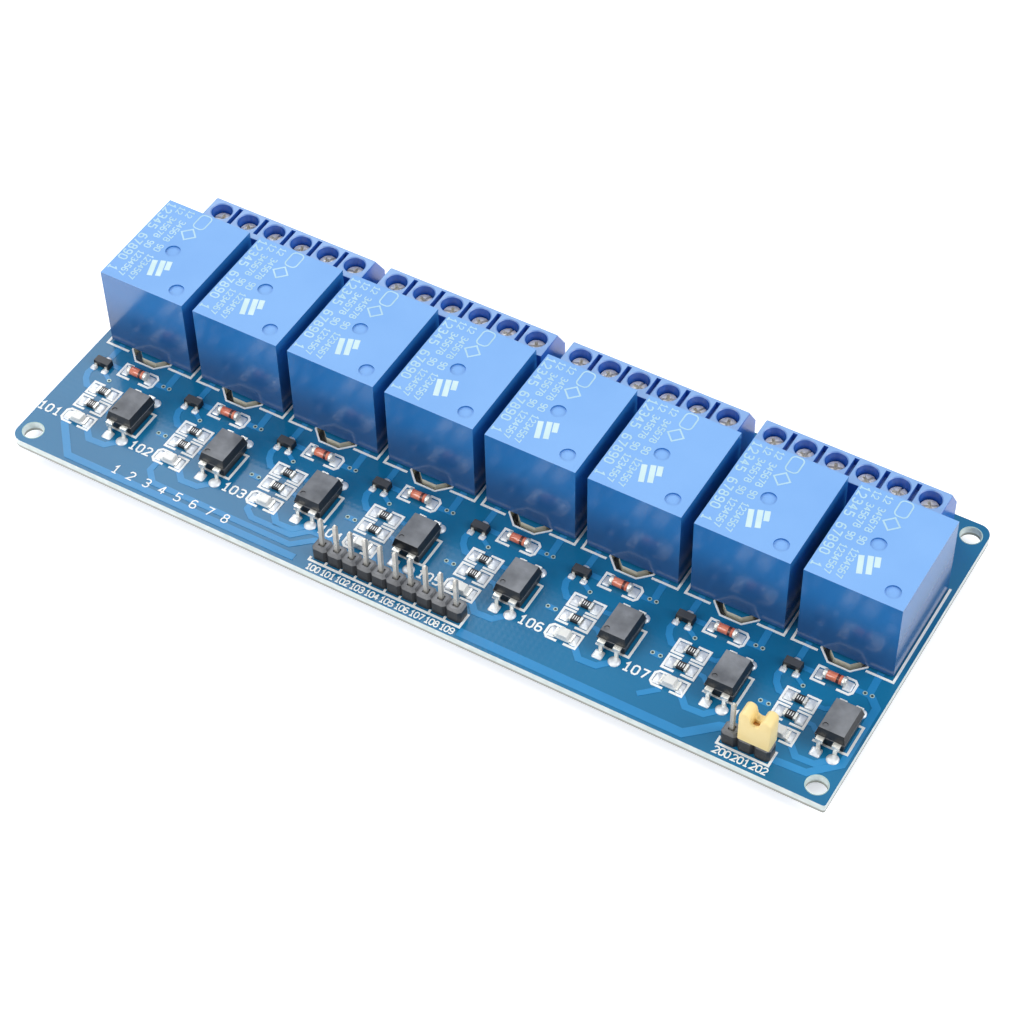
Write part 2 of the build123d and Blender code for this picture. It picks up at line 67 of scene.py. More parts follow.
# Upright faces within this reach of the middle, along X and Y, are walls of the slots.
SLOT_REACH = (65.0, 8.0)
NOISE_SPREAD = {"From Min": 0.32, "From Max": 0.68}
LEVEL_SPREAD = {"From Min": 0.55, "From Max": 0.8}


def corners(node):
    """The lowest and highest corners of a frame piece, in millimetres."""
    return [[round(c / MM, 4) for c in corner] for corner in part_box(node)]


BOARD_BOTTOM, BOARD_TOP = [corner[2] for corner in corners("circuit_board")]


def paint(red, green, blue):
    """A colour given as it looks on a screen, 0 to 255, as a shader value."""
    levels = [c / 255 for c in (red, green, blue)]
    return tuple(c / 12.92 if c <= 0.04045 else ((c + 0.055) / 1.055) ** 2.4 for c in levels) + (1.0,)


def add_node(tree, kind, inputs=None):
    """A shader node whose inputs are linked to sockets or set to plain values."""
    node = tree.nodes.new("ShaderNode" + kind)
    for label, value in (inputs or {}).items():
        if isinstance(value, bpy.types.NodeSocket):
            tree.links.new(value, node.inputs[label])
        else:
            node.inputs[label].default_value = value
    return node


def calculate(tree, operation, *values):
    """The result of one Math node on sockets or plain values."""
    node = add_node(tree, "Math", dict(enumerate(values)))
    node.operation = operation
    return node.outputs["Value"]


def object_place(tree):
    """The sockets X, Y and Z of the place on the object, in metres."""
    place = add_node(tree, "TexCoord").outputs["Object"]
    return add_node(tree, "SeparateXYZ", {"Vector": place}).outputs


def new_group(name, inputs, outputs):
    """An empty shader node group with plain number sockets, with what it is given and what it puts out."""
    group = bpy.data.node_groups.new(name, "ShaderNodeTree")
    for label in inputs:
        group.interface.new_socket(label, in_out="INPUT", socket_type="NodeSocketFloat")
    for label in outputs:
        group.interface.new_socket(label, in_out="OUTPUT", socket_type="NodeSocketFloat")
    return group, group.nodes.new("NodeGroupInput").outputs, group.nodes.new("NodeGroupOutput").inputs


def make_variation():
    """Fine grain and broad soft patches, both read from the place on the object."""
    scales = ["Grain Scale", "Patch Scale"]
    group, given, result = new_group("surface_variation", scales, ["Grain", "Patches"])
    place = add_node(group, "TexCoord").outputs["Object"]
    for scale, detail, label in zip(scales, (2.0, 3.0), ("Grain", "Patches")):
        noise = add_node(group, "TexNoise", {"Vector": place, "Scale": given[scale], "Detail": detail})
        spread = add_node(group, "MapRange", {"Value": noise.outputs["Fac"], **NOISE_SPREAD})
        group.links.new(spread.outputs["Result"], result[label])
    return group


def make_facing():
    """How far a surface faces straight up, and how far it lies level on either side."""
    group, _, result = new_group("level_faces", [], ["Up", "Level"])
    normal = add_node(group, "NewGeometry").outputs["Normal"]
    rise = add_node(group, "SeparateXYZ", {"Vector": normal}).outputs["Z"]
    for label, slope in (("Up", rise), ("Level", calculate(group, "ABSOLUTE", rise))):
        spread = add_node(group, "MapRange", {"Value": slope, **LEVEL_SPREAD})
        group.links.new(spread.outputs["Result"], result[label])
    return group


def make_height():
    """Where a surface lies between two heights in metres: 0 at the lower, 1 at the upper."""
    group, given, result = new_group("height_share", ["Low", "High"], ["Share"])
    spread = {"Value": object_place(group)["Z"], "From Min": given["Low"], "From Max": given["High"]}
    share = add_node(group, "MapRange", spread)
    share.interpolation_type = "SMOOTHSTEP"
    group.links.new(share.outputs["Result"], result["Share"])
    return group


VARIATION = make_variation()
FACING = make_facing()
HEIGHT = make_height()


def add_group(tree, group, values=None):
    """The outputs of a shared effect placed in a material with its own values."""
    node = tree.nodes.new("ShaderNodeGroup")
    node.node_tree = group
    for label, value in (values or {}).items():
        node.inputs[label].default_value = value
    return node.outputs


def height_share(tree, low, high):
    """A mask that runs from 0 at one height to 1 at another, in millimetres."""
    return add_group(tree, HEIGHT, {"Low": low * MM, "High": high * MM})["Share"]


def inside_share(tree, reach):
    """A mask of the area within a reach of the middle along X and Y, in millimetres."""
    place = object_place(tree)
    near = [calculate(tree, "COMPARE", place[axis], 0.0, limit * MM) for axis, limit in zip("XY", reach)]
    return calculate(tree, "MULTIPLY", *near)


def blend_colours(tree, mask, first, second):
    """A mix by a mask of two screen colours or colour sockets."""
    mix = tree.nodes.new("ShaderNodeMix")
    mix.data_type = "RGBA"
    tree.links.new(mask, mix.inputs["Factor"])
    for socket, value in ((mix.inputs[6], first), (mix.inputs[7], second)):
        if isinstance(value, tuple):
            socket.default_value = paint(*value)
        else:
            tree.links.new(value, socket)
    return mix.outputs[2]


def add_roughness(tree, mask, low, high):
    """Roughness that runs from low to high with a mask."""
    spread = add_node(tree, "MapRange", {"Value": mask, "To Min": low, "To Max": high})
    tree.links.new(spread.outputs["Result"], tree.nodes["Principled BSDF"].inputs["Roughness"])


def add_bump(tree, height, depth):
    """Small relief from a height socket, of a depth in millimetres."""
    bump = add_node(tree, "Bump", {"Height": height, "Distance": depth * MM, "Strength": 1.0})
    tree.links.new(bump.outputs["Normal"], tree.nodes["Principled BSDF"].inputs["Normal"])


def new_finish(name, scales):
    """A material with its tree, its shader's inputs and its masks of grain and patches."""
    material = bpy.data.materials.new(name)
    material.use_nodes = True
    tree = material.node_tree
    masks = add_group(tree, VARIATION, {"Grain Scale": scales[0], "Patch Scale": scales[1]})
    return material, tree, tree.nodes["Principled BSDF"].inputs, masks


def board_finish():
    """Glossy lacquer on the level faces over a faint glass weave, bare laminate on the upright ones."""
    material, tree, shader, masks = new_finish("blue_lacquer", (900.0, 45.0))
    place = add_node(tree, "TexCoord").outputs["Object"]
    threads = []
    for direction in ("X", "Y"):
        wave = add_node(tree, "TexWave", {"Vector": place, "Scale": WEAVE_SCALE, "Distortion": 0.6})
        wave.bands_direction = direction
        threads.append(wave.outputs["Fac"])
    coat = blend_colours(tree, masks["Patches"], *LACQUER)
    laminate = blend_colours(tree, masks["Grain"], *LAMINATE)
    above = height_share(tree, LOWER_TONE_LINE - LOWER_TONE_BLUR, LOWER_TONE_LINE + LOWER_TONE_BLUR)
    laminate = blend_colours(tree, above, LOWER_LAMINATE, laminate)
    # Slot walls take a creamier tone, painted light.
    laminate = blend_colours(tree, inside_share(tree, SLOT_REACH), laminate, SLOT_PAINTED_LIGHT)
    level = add_group(tree, FACING)["Level"]
    tree.links.new(blend_colours(tree, level, laminate, coat), shader["Base Color"])
    shader["Specular IOR Level"].default_value = LACQUER_MIRROR
    add_roughness(tree, masks["Patches"], *LACQUER_ROUGHNESS)
    add_bump(tree, calculate(tree, "MULTIPLY", *threads), WEAVE_DEPTH)
    return material


def dress(node, material):
    """Give a piece of the frame its finish."""
    data = frame["nodes"][node].data
    data.materials.clear()
    data.materials.append(material)


dress("circuit_board", board_finish())

# Copper runs
# Etched copper left on the laminate, seen as raised lighter-blue bands through the lacquer.
# Each channel has the same runs; wider ones follow the front and right edges to the two headers, and broad
# ones below the board join the relay contacts to their terminals.


def middle(node):
    """The middle of a frame piece, in millimetres."""
    return [(low + high) / 2 for low, high in zip(*corners(node))]


CHANNELS = range(1, 9)
CHANNEL_XS = [middle(f"relay_{k}")[0] for k in CHANNELS]
# The last channel leaves out what would pass this X, near the board's right edge.
CHANNEL_LIMIT = 68.0
RUN_HEIGHT = 0.07
RUN_SINK = 0.02
# Runs step down a hair one after another, through these levels, so that no two that meet share a plane.
RUN_STEP = 0.003
RUN_LEVELS = 16
CHANNEL_RUNS = [
    (1.0, [(-5.5, -7.4), (-5.5, -3.9)]),
    (0.9, [(-5.0, -8.4), (-1.4, -8.4)]),
    (0.95, [(2.2, -8.35), (6.4, -8.3)]),
    (1.1, [(5.85, -7.9), (5.7, -3.9)]),
    (1.0, [(-6.75, -10.4), (-6.85, -11.4), (-6.4, -12.6), (-5.4, -13.75), (-3.6, -13.8)]),
    (0.7, [(-4.5, -10.3), (-3.5, -10.9), (-2.85, -11.37)]),
    (0.8, [(-0.6, -13.6), (1.6, -13.5), (3.7, -12.0)]),
    (0.75, [(-0.6, -16.7), (1.4, -16.8), (3.2, -18.4), (3.7, -20.2)]),
    (1.05, [(-0.6, -20.4), (0.3, -21.4), (1.6, -22.8), (4.4, -22.65), (6.2, -20.8)]),
    (1.0, [(9.95, -16.6), (11.75, -16.6)]),
]
EDGE_RUNS = [
    (1.2, [(-63.4, -20.6), (-63.3, -21.9), (-58.9, -27.05), (-17.8, -27.05)]),
    (1.0, [(-46.1, -20.6), (-46.2, -23.4), (-44.4, -25.3), (-19.8, -25.3), (-16.9, -22.8), (-14.3, -22.6)]),
    (1.0, [(-29.0, -20.6), (-29.1, -22.6), (-27.6, -23.7), (-20.6, -23.7), (-18.4, -21.6), (-14.3, -21.5)]),
    (1.5, [(10.2, -27.0), (46.4, -27.0), (50.4, -23.4), (52.8, -22.9)]),
    (1.2, [(59.0, -24.8), (64.3, -24.5), (68.0, -20.9), (68.0, -9.9), (66.4, -8.3)]),
    (0.9, [(37.7, -24.1), (40.2, -21.8)]),
]
# Runs below: width, place across the channel, and the y at the contact, at the bend and at the terminal.
CONTACT_RUNS = [(2.6, -6.0, 12.75, 15.4, 17.6), (3.0, 0.0, -2.2, 14.0, 17.0), (2.6, 6.0, 12.75, 15.4, 17.6)]
CONTACT_RUN_END = 19.6
BLOCKS = 4
BLOCK_LENGTH = 30.0
BLOCKS_LEFT, BLOCKS_RIGHT = [corner[0] for corner in corners("terminal_blocks")]
BLOCK_PITCH = (BLOCKS_RIGHT - BLOCKS_LEFT - BLOCK_LENGTH) / (BLOCKS - 1)
BLOCK_XS = [BLOCKS_LEFT + BLOCK_LENGTH / 2 + BLOCK_PITCH * b for b in range(BLOCKS)]
BLOCK_WAYS = 6
WAY_PITCH = 5.0
WAY_XS = [(w - (BLOCK_WAYS - 1) / 2) * WAY_PITCH for w in range(BLOCK_WAYS)]


def skin(bm, rows, joined=False):
    """Faces from each row of corners to the next; joined rows form a ring, others get closed ends."""
    for one, two in zip(rows, rows[1:] + rows[:1] if joined else rows[1:]):
        for i in range(len(one)):
            j = (i + 1) % len(one)
            bm.faces.new((one[i], one[j], two[j], two[i]))
    if not joined:
        bm.faces.new(rows[0][::-1])
        bm.faces.new(rows[-1])


def ribbon(bm, points, width, low, high):
    """A flat strip of even width along a bent line, mitred at its corners, as a closed solid.

    A line that ends where it starts is joined there.
    """
    line = [Vector(point) for point in points]
    loop = (line[-1] - line[0]).length < 0.001
    if loop:
        line.pop()
    steps = [(line[(i + 1) % len(line)] - point).normalized() for i, point in enumerate(line)]
    rows = []
    for i, point in enumerate(line):
        before = steps[i - 1] if i or loop else steps[0]
        after = steps[i] if i + 1 < len(line) or loop else before
        along = (before + after).normalized()
        across = Vector((-along.y, along.x))
        reach = width / 2 / max(0.4, across.dot(Vector((-before.y, before.x))))
        left, right = point + across * reach, point - across * reach
        section = [(left, low), (right, low), (right, high), (left, high)]
        rows.append([bm.verts.new((*side, z)) for side, z in section])
    skin(bm, rows, loop)


def moved(points, x, y=0.0):
    """The same points, moved."""
    return [(x + px, y + py) for px, py in points]


def new_object(name, bm):
    """A linked object of a mesh, with its faces turned outwards."""
    bmesh.ops.recalc_face_normals(bm, faces=bm.faces)
    data = bpy.data.meshes.new(name)
    bm.to_mesh(data)
    bm.free()
    thing = bpy.data.objects.new(name, data)
    bpy.context.scene.collection.objects.link(thing)
    return thing


def finish_piece(name, bm, material, smooth_angle=35, body="board"):
    """Turn millimetres to metres, make the object, put its finish on and let it ride on its body."""
    bmesh.ops.transform(bm, matrix=Matrix.Scale(MM, 4), verts=bm.verts)
    piece = new_object(name, bm)
    for face in piece.data.polygons:
        face.use_smooth = True
    piece.data.set_sharp_from_angle(angle=math.radians(smooth_angle))
    piece.data.materials.append(material)
    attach(piece, body)
    return piece


def plain_finish(name, colour, shade, roughness, scales, grain_depth, metallic=0.0):
    """A moulded, plated or printed surface: two close colours in patches, uneven gloss and fine grain.

    Roughness is its least and its most, and scales are those of the grain and the patches.
    """
    material, tree, shader, masks = new_finish(name, scales)
    shader["Metallic"].default_value = metallic
    tree.links.new(blend_colours(tree, masks["Patches"], colour, shade), shader["Base Color"])
    add_roughness(tree, masks["Patches"], *roughness)
    add_bump(tree, masks["Grain"], grain_depth)
    return material


def set_shader(material, label, value):
    """Set one plain value of a finish."""
    material.node_tree.nodes["Principled BSDF"].inputs[label].default_value = value


copper_lacquer = plain_finish("lacquer_over_copper", (42, 134, 192), (50, 142, 200), (0.14, 0.22),
                              (1500.0, 120.0), 0.004)
set_shader(copper_lacquer, "Specular IOR Level", LACQUER_MIRROR)
runs = bmesh.new()
top_runs = list(EDGE_RUNS)
for x in CHANNEL_XS:
    for width, points in CHANNEL_RUNS:
        if x + points[-1][0] < CHANNEL_LIMIT:
            top_runs.append((width, moved(points, x)))
for i, (width, points) in enumerate(top_runs):
    ribbon(runs, points, width, BOARD_TOP - RUN_SINK, BOARD_TOP + RUN_HEIGHT - i % RUN_LEVELS * RUN_STEP)
for k, x in enumerate(CHANNEL_XS):
    for i, (width, dx, start, bend, turn) in enumerate(CONTACT_RUNS):
        way = BLOCK_XS[k // 2] + WAY_XS[i + len(CONTACT_RUNS) * (k % 2)]
        points = [(x + dx, start), (x + dx, bend), (way, turn), (way, CONTACT_RUN_END)]
        ribbon(runs, points, width, BOARD_BOTTOM - RUN_HEIGHT + i * RUN_STEP, BOARD_BOTTOM + RUN_SINK)
finish_piece("copper_runs", runs, copper_lacquer)

# Vias and mounting rings
# Small plated holes that join the copper of the two sides, and a bare ring round each mounting hole.
# Tinned copper; a dark disc at the centre of each via is painted shade where the hole goes down.
VIA_SPOTS = [(5.27, -8.25), (6.36, -8.25), (10.25, -16.6), (11.5, -16.6), (-2.85, -11.37)]
VIA_HOLE = 0.2
VIA_RING = 0.35
VIA_HEIGHT = 0.1
VIA_HOLE_HEIGHT = 0.08
VIA_SIDES = 16
MOUNT = next(m["dims"] for m in frame["record"]["mounts"] if m["name"] == "mounting_holes")
MOUNT_HOLE = MOUNT["hole_r_mm"]
MOUNT_RING = MOUNT_HOLE + 0.13
MOUNT_RING_HEIGHT = 0.04
MOUNT_SIDES = 48
MOUNT_SPOTS = [(MOUNT["spacing_x_mm"] / 2 * sx, MOUNT["spacing_y_mm"] / 2 * sy)
               for sx in (-1, 1) for sy in (-1, 1)]


def prism(bm, outline, low, high):
    """A closed upright solid on a convex outline."""
    skin(bm, [[bm.verts.new((x, y, z)) for x, y in outline] for z in (low, high)])


def circle(x, y, radius, sides=24):
    """Points round a circle."""
    turns = [2 * math.pi * i / sides for i in range(sides)]
    return [(x + radius * math.cos(turn), y + radius * math.sin(turn)) for turn in turns]


def lathe(bm, profile, place, sides, ring=False):
    """A turned solid: a profile of radius and height round the Z axis, put in place.

    A ring's profile closes on itself; any other starts and ends on the axis.
    """
    rings = []
    for radius, height in profile:
        spots = circle(0, 0, radius, sides) if radius else [(0, 0)]
        rings.append([bm.verts.new(place @ Vector((x, y, height))) for x, y in spots])
    for one, two in zip(rings, rings[1:] + rings[:1] if ring else rings[1:]):
        for i in range(sides):
            j = (i + 1) % sides
            quad = [one[i % len(one)], one[j % len(one)], two[j % len(two)], two[i % len(two)]]
            bm.faces.new(list(dict.fromkeys(quad)))


def washer(bm, x, y, inner, outer, low, high, sides):
    """A flat ring as a closed solid."""
    profile = [(inner, low), (outer, low), (outer, high), (inner, high)]
    lathe(bm, profile, Matrix.Translation((x, y, 0)), sides, ring=True)


tinned_ring = plain_finish("tinned_ring", (188, 212, 204), (164, 194, 190), (0.45, 0.6),
                           (2500.0, 300.0), 0.01, metallic=0.2)
# A dark disc on each via is painted shade for the hole below it.
via_painted_shade = plain_finish("via_hole_painted_shade", (12, 20, 30), (20, 30, 42), (0.5, 0.7), (2000.0, 300.0), 0.01)
rings, centres = bmesh.new(), bmesh.new()
for x, y in [(x + dx, y) for x in CHANNEL_XS for dx, y in VIA_SPOTS]:
    if x < CHANNEL_LIMIT:
        washer(rings, x, y, VIA_HOLE, VIA_RING, BOARD_TOP, BOARD_TOP + VIA_HEIGHT, VIA_SIDES)
        prism(centres, circle(x, y, VIA_HOLE, VIA_SIDES), BOARD_TOP, BOARD_TOP + VIA_HOLE_HEIGHT)
for x, y in MOUNT_SPOTS:
    for low in (BOARD_TOP, BOARD_BOTTOM - MOUNT_RING_HEIGHT):
        washer(rings, x, y, MOUNT_HOLE, MOUNT_RING, low, low + MOUNT_RING_HEIGHT, MOUNT_SIDES)
finish_piece("via_and_mount_rings", rings, tinned_ring)
finish_piece("via_painted_shade_centres", centres, via_painted_shade)

# Printed lines
# White ink printed on the lacquer: an outline round each part, with ticks along the input header.
# Plain figures number the channels, the ways of the headers and the front edge.
INK_LEVELS = (BOARD_TOP - 0.01, BOARD_TOP + 0.085)
INK_WIDTH = 0.37
CHANNEL_LINES = [
    [(-7.93, 14.8), (-7.93, -4.65), (-3.85, -4.65)],
    [(3.65, -4.65), (7.9, -4.65), (7.9, 14.8)],
    [(-1.2, -7.0), (-2.45, -7.0), (-2.45, -9.65), (-0.3, -9.65)],
    [(1.75, -7.0), (3.25, -7.0), (3.72, -7.5), (3.72, -9.15), (3.3, -9.65), (1.45, -9.65)],
    [(-2.7, -12.55), (-4.6, -12.55), (-4.6, -15.03), (-2.7, -15.03)],
    [(-1.6, -12.55), (0.42, -12.55), (0.42, -15.03), (-1.6, -15.03)],
    [(-2.7, -15.62), (-4.6, -15.62), (-4.6, -18.15), (-2.7, -18.15)],
    [(-1.6, -15.62), (0.42, -15.62), (0.42, -18.15), (-1.6, -18.15)],
    [(-2.7, -19.0), (-4.35, -19.0), (-4.85, -19.5), (-4.85, -21.05), (-4.35, -21.55), (-2.7, -21.55)],
    [(-1.6, -19.0), (0.3, -19.0), (0.3, -21.55), (-1.6, -21.55)],
    [(6.7, -13.85), (7.7, -13.85), (7.7, -19.1), (2.4, -19.1)],
]
SLOT_RIM = [(-3.61, -3.0), (-3.61, -3.97), (-1.72, -5.86), (1.72, -5.86), (3.61, -3.97), (3.61, -3.0)]
SLOT_RIM_WIDTH = 0.27
HEADER_PITCH = 2.54
INPUT_WAYS = 10
SUPPLY_WAYS = 3
INPUT_LEFT = corners("input_header")[0][0]
INPUT_LINE_Y = -26.3
TICK_Y = -25.55
HEADER_LINES = [
    [(-15.7, -25.65), (-15.7, INPUT_LINE_Y), (9.97, INPUT_LINE_Y), (9.97, -23.6)],
    [(51.33, -24.8), (51.33, -26.12), (59.3, -26.12), (59.3, -23.4)],
]
for i in range(1, INPUT_WAYS):
    tick_x = INPUT_LEFT + HEADER_PITCH * i
    HEADER_LINES.append([(tick_x, INPUT_LINE_Y + INK_WIDTH / 2), (tick_x, TICK_Y)])
# Each figure as strokes in a box 0.6 wide and 1 high.
FIGURE_STROKES = {
    "0": [[(0.15, 0), (0, 0.18), (0, 0.82), (0.15, 1), (0.45, 1), (0.6, 0.82), (0.6, 0.18), (0.45, 0),
           (0.15, 0)]],
    "1": [[(0.1, 0.75), (0.35, 1.0), (0.35, 0.0)], [(0.1, 0.0), (0.6, 0.0)]],
    "2": [[(0, 0.8), (0.15, 1), (0.45, 1), (0.6, 0.85), (0.6, 0.62), (0, 0), (0.6, 0)]],
    "3": [[(0, 0.9), (0.15, 1), (0.45, 1), (0.6, 0.85), (0.6, 0.65), (0.42, 0.53), (0.2, 0.53)],
          [(0.42, 0.53), (0.6, 0.4), (0.6, 0.15), (0.45, 0), (0.15, 0), (0, 0.12)]],
    "4": [[(0.42, 0.0), (0.42, 1.0)], [(0.42, 1.0), (0, 0.32), (0.62, 0.32)]],
    "5": [[(0.58, 1), (0.05, 1), (0.03, 0.56), (0.42, 0.58), (0.6, 0.43), (0.6, 0.15), (0.45, 0),
           (0.12, 0), (0, 0.1)]],
    "6": [[(0.55, 0.92), (0.4, 1), (0.18, 1), (0, 0.8), (0, 0.3)],
          [(0.15, 0), (0.45, 0), (0.6, 0.15), (0.6, 0.4), (0.45, 0.55), (0.15, 0.55), (0, 0.4), (0, 0.15),
           (0.15, 0)]],
    "7": [[(0, 1), (0.6, 1), (0.22, 0)]],
    "8": [[(0.15, 0.54), (0.05, 0.66), (0.05, 0.88), (0.18, 1), (0.42, 1), (0.55, 0.88), (0.55, 0.66),
           (0.45, 0.54), (0.15, 0.54)],
          [(0.15, 0.54), (0, 0.38), (0, 0.14), (0.15, 0), (0.45, 0), (0.6, 0.14), (0.6, 0.38), (0.45, 0.54),
           (0.15, 0.54)]],
    " ": [],
}
# A nine is a six turned upside down.
FIGURE_STROKES["9"] = [[(0.6 - x, 1 - y) for x, y in stroke] for stroke in FIGURE_STROKES["6"]]
STROKE_STEP = 0.006
# Rows of figures: the figures, the first one's corner, and their height, pitch and stroke width.
BOARD_FIGURES = [("12345678", (-51.2, -26.6), (1.5, 2.85, 0.2))]
BOARD_FIGURES += [(str(101 + k), (x - 9.3, -21.3), (1.5, 1.4, 0.26)) for k, x in enumerate(CHANNEL_XS)]
BOARD_FIGURES += [(str(100 + i), (-15.35 + HEADER_PITCH * i, -27.9), (1.0, 0.78, 0.18))
                  for i in range(INPUT_WAYS)]
BOARD_FIGURES += [(str(200 + i), (51.5 + 2.85 * i, -27.7), (1.1, 0.88, 0.19)) for i in range(SUPPLY_WAYS)]


def figure_row(bm, figures, corner, sizes, along, levels):
    """Plain stroke-drawn figures in a row from a corner.

    A second stroke is a hair lower than the first, so that their tops never share a plane.
    """
    height, pitch, width = sizes
    low, high = levels
    along = Vector(along)
    upward = Vector((-along.y, along.x))
    for i, figure in enumerate(figures):
        start = Vector(corner) + along * pitch * i
        for order, stroke in enumerate(FIGURE_STROKES[figure]):
            points = [start + (along * px + upward * py) * height for px, py in stroke]
            ribbon(bm, points, width, low, high - order * STROKE_STEP)


ink = plain_finish("white_ink", (255, 255, 253), (246, 249, 248), (0.5, 0.65), (3000.0, 500.0), 0.01)
lines = bmesh.new()
for x in CHANNEL_XS:
    for points in CHANNEL_LINES:
        ribbon(lines, moved(points, x), INK_WIDTH, *INK_LEVELS)
    ribbon(lines, moved(SLOT_RIM, x), SLOT_RIM_WIDTH, *INK_LEVELS)
for points in HEADER_LINES:
    ribbon(lines, points, INK_WIDTH, *INK_LEVELS)
for figures, corner, sizes in BOARD_FIGURES:
    figure_row(lines, figures, corner, sizes, (1, 0), INK_LEVELS)
finish_piece("printed_lines", lines, ink)

# Solder
# Tin solder, melted on every pad: flat shiny pools round the small parts and a cone on each pin below.
# The pools rise to the metal ends that they hold.
SOLDER_SINK = 0.01
SQUARE_PADS = [(-3.75, -13.8, 1.4, 1.85), (-0.42, -13.8, 1.4, 1.85), (-3.75, -16.88, 1.4, 1.85),
               (-0.42, -16.88, 1.4, 1.85), (-3.95, -20.3, 1.3, 1.95), (-0.35, -20.3, 1.1, 1.95),
               (-1.6, -8.33, 1.2, 1.8), (2.75, -8.33, 1.4, 1.8), (-6.6, -10.15, 1.05, 1.05),
               (-4.6, -10.15, 1.05, 1.05), (-5.6, -7.75, 1.0, 0.95), (3.73, -20.75, 1.6, 1.6),
               (3.73, -11.75, 1.5, 1.4)]
ROUND_PADS = [(6.3, -20.75, 0.95), (6.27, -11.8, 0.9)]
PAD_CORNER = 0.25
# Pools: their height, and the share by which the crown stands in.
SQUARE_POOL = (0.26, 0.35)
ROUND_POOL = (0.3, 0.4)
POOL_FOOT = 0.06
# The bulge stands in by a share of what the crown does, at a share of the height.
POOL_BULGE = (0.35, 0.7)
RELAY_PINS = [(0, -1.45), (-6, 0.55), (6, 0.55), (-6, 12.75), (6, 12.75)]
TERMINAL_PIN_Y = 19.05
CONE_PROFILE = [(0, SOLDER_SINK), (1.15, SOLDER_SINK), (1.15, -0.05), (0.85, -0.35), (0.62, -0.9),
                (0.5, -1.35), (0, -1.45)]
CONE_SIDES = 16


def header_ways(node, count):
    """The places of a header's pins, from the left."""
    return [(corners(node)[0][0] + HEADER_PITCH * (i + 0.5), middle(node)[1]) for i in range(count)]


INPUT_PINS = header_ways("input_header", INPUT_WAYS)
SUPPLY_PINS = header_ways("supply_header", SUPPLY_WAYS)


def rounded_rectangle(x, y, size_x, size_y, radius, steps=4):
    """Points round a rectangle with rounded corners."""
    points = []
    for quarter, (sx, sy) in enumerate(((1, 1), (-1, 1), (-1, -1), (1, -1))):
        for i in range(steps + 1):
            turn = math.pi / 2 * (quarter + i / steps)
            points.append((x + sx * (size_x / 2 - radius) + radius * math.cos(turn),
                           y + sy * (size_y / 2 - radius) + radius * math.sin(turn)))
    return points


def pool(bm, outline, height, inset):
    """A low pool of solder: a foot, a bulged side and a flat crown that stands in by a share."""
    low, high = BOARD_TOP - SOLDER_SINK, BOARD_TOP + height
    centre = Vector((sum(p[0] for p in outline), sum(p[1] for p in outline))) / len(outline)
    bulge_share, bulge_height = POOL_BULGE
    bulge = (1.0 - inset * bulge_share, low + (high - low) * bulge_height)
    rows = []
    for share, z in [(1.0, low), (1.0, low + POOL_FOOT), bulge, (1.0 - inset, high)]:
        rows.append([bm.verts.new((*(centre + (Vector(p) - centre) * share), z)) for p in outline])
    skin(bm, rows)


solder = plain_finish("tin_solder", (234, 237, 240), (202, 208, 215), (0.34, 0.48), (1800.0, 900.0), 0.03,
                      metallic=0.38)
pools = bmesh.new()
for x in CHANNEL_XS:
    for px, py, size_x, size_y in SQUARE_PADS:
        pool(pools, rounded_rectangle(x + px, py, size_x, size_y, PAD_CORNER), *SQUARE_POOL)
    for px, py, radius in ROUND_PADS:
        pool(pools, circle(x + px, py, radius), *ROUND_POOL)
finish_piece("solder_pools", pools, solder, 60)

pin_ends = INPUT_PINS + SUPPLY_PINS
pin_ends += [(x + dx, y) for x in CHANNEL_XS for dx, y in RELAY_PINS]
pin_ends += [(x + dx, TERMINAL_PIN_Y) for x in BLOCK_XS for dx in WAY_XS]
cones = bmesh.new()
for x, y in pin_ends:
    lathe(cones, CONE_PROFILE, Matrix.Translation((x, y, BOARD_BOTTOM)), CONE_SIDES)
finish_piece("solder_cones", cones, solder, 60)

# Relays
# Sealed cans of glossy blue plastic, dropped onto the board and held by their soldered pins.
# Moulded with crisp edges and two round ejector marks in the top; the sides are painted deeper and greyer
# towards the base as painted shade.
(RELAY_LEFT, RELAY_FRONT, RELAY_LOW), (RELAY_RIGHT, RELAY_BACK, RELAY_HIGH) = corners("relay_1")
RELAY_SIZE = (RELAY_RIGHT - RELAY_LEFT, RELAY_BACK - RELAY_FRONT)
RELAY_Y = (RELAY_FRONT + RELAY_BACK) / 2
# The painted shade of the sides at the base, and the heights between which it fades out.
RELAY_PAINTED_SHADE = ((44, 88, 142), RELAY_LOW + 2.0, RELAY_HIGH - 2.5)
MARK_SPOTS = [(-0.5, 0.0), (4.9, -6.8)]
MARK_RADIUS = 1.2
MARK_DEPTH = 0.32
PRINT_HEIGHT = 0.03
CUT_OVER = 1.0


def box(bm, x, y, low, high, size_x, size_y):
    """An upright box."""
    left, right, front, back = x - size_x / 2, x + size_x / 2, y - size_y / 2, y + size_y / 2
    prism(bm, [(left, front), (right, front), (right, back), (left, back)], low, high)


def cut_from(name, base, cutters):
    """The base mesh with each cutter's solids taken out of it, as a new mesh."""
    made = [new_object(f"{name}_{i}", bm) for i, bm in enumerate([base, *cutters])]
    for cutter in made[1:]:
        step = made[0].modifiers.new(cutter.name, "BOOLEAN")
        step.operation = "DIFFERENCE"
        step.solver = "EXACT"
        step.use_self = True
        step.object = cutter
    result = bmesh.new()
    result.from_mesh(made[0].evaluated_get(bpy.context.evaluated_depsgraph_get()).to_mesh())
    for thing in made:
        bpy.data.objects.remove(thing)
    return result


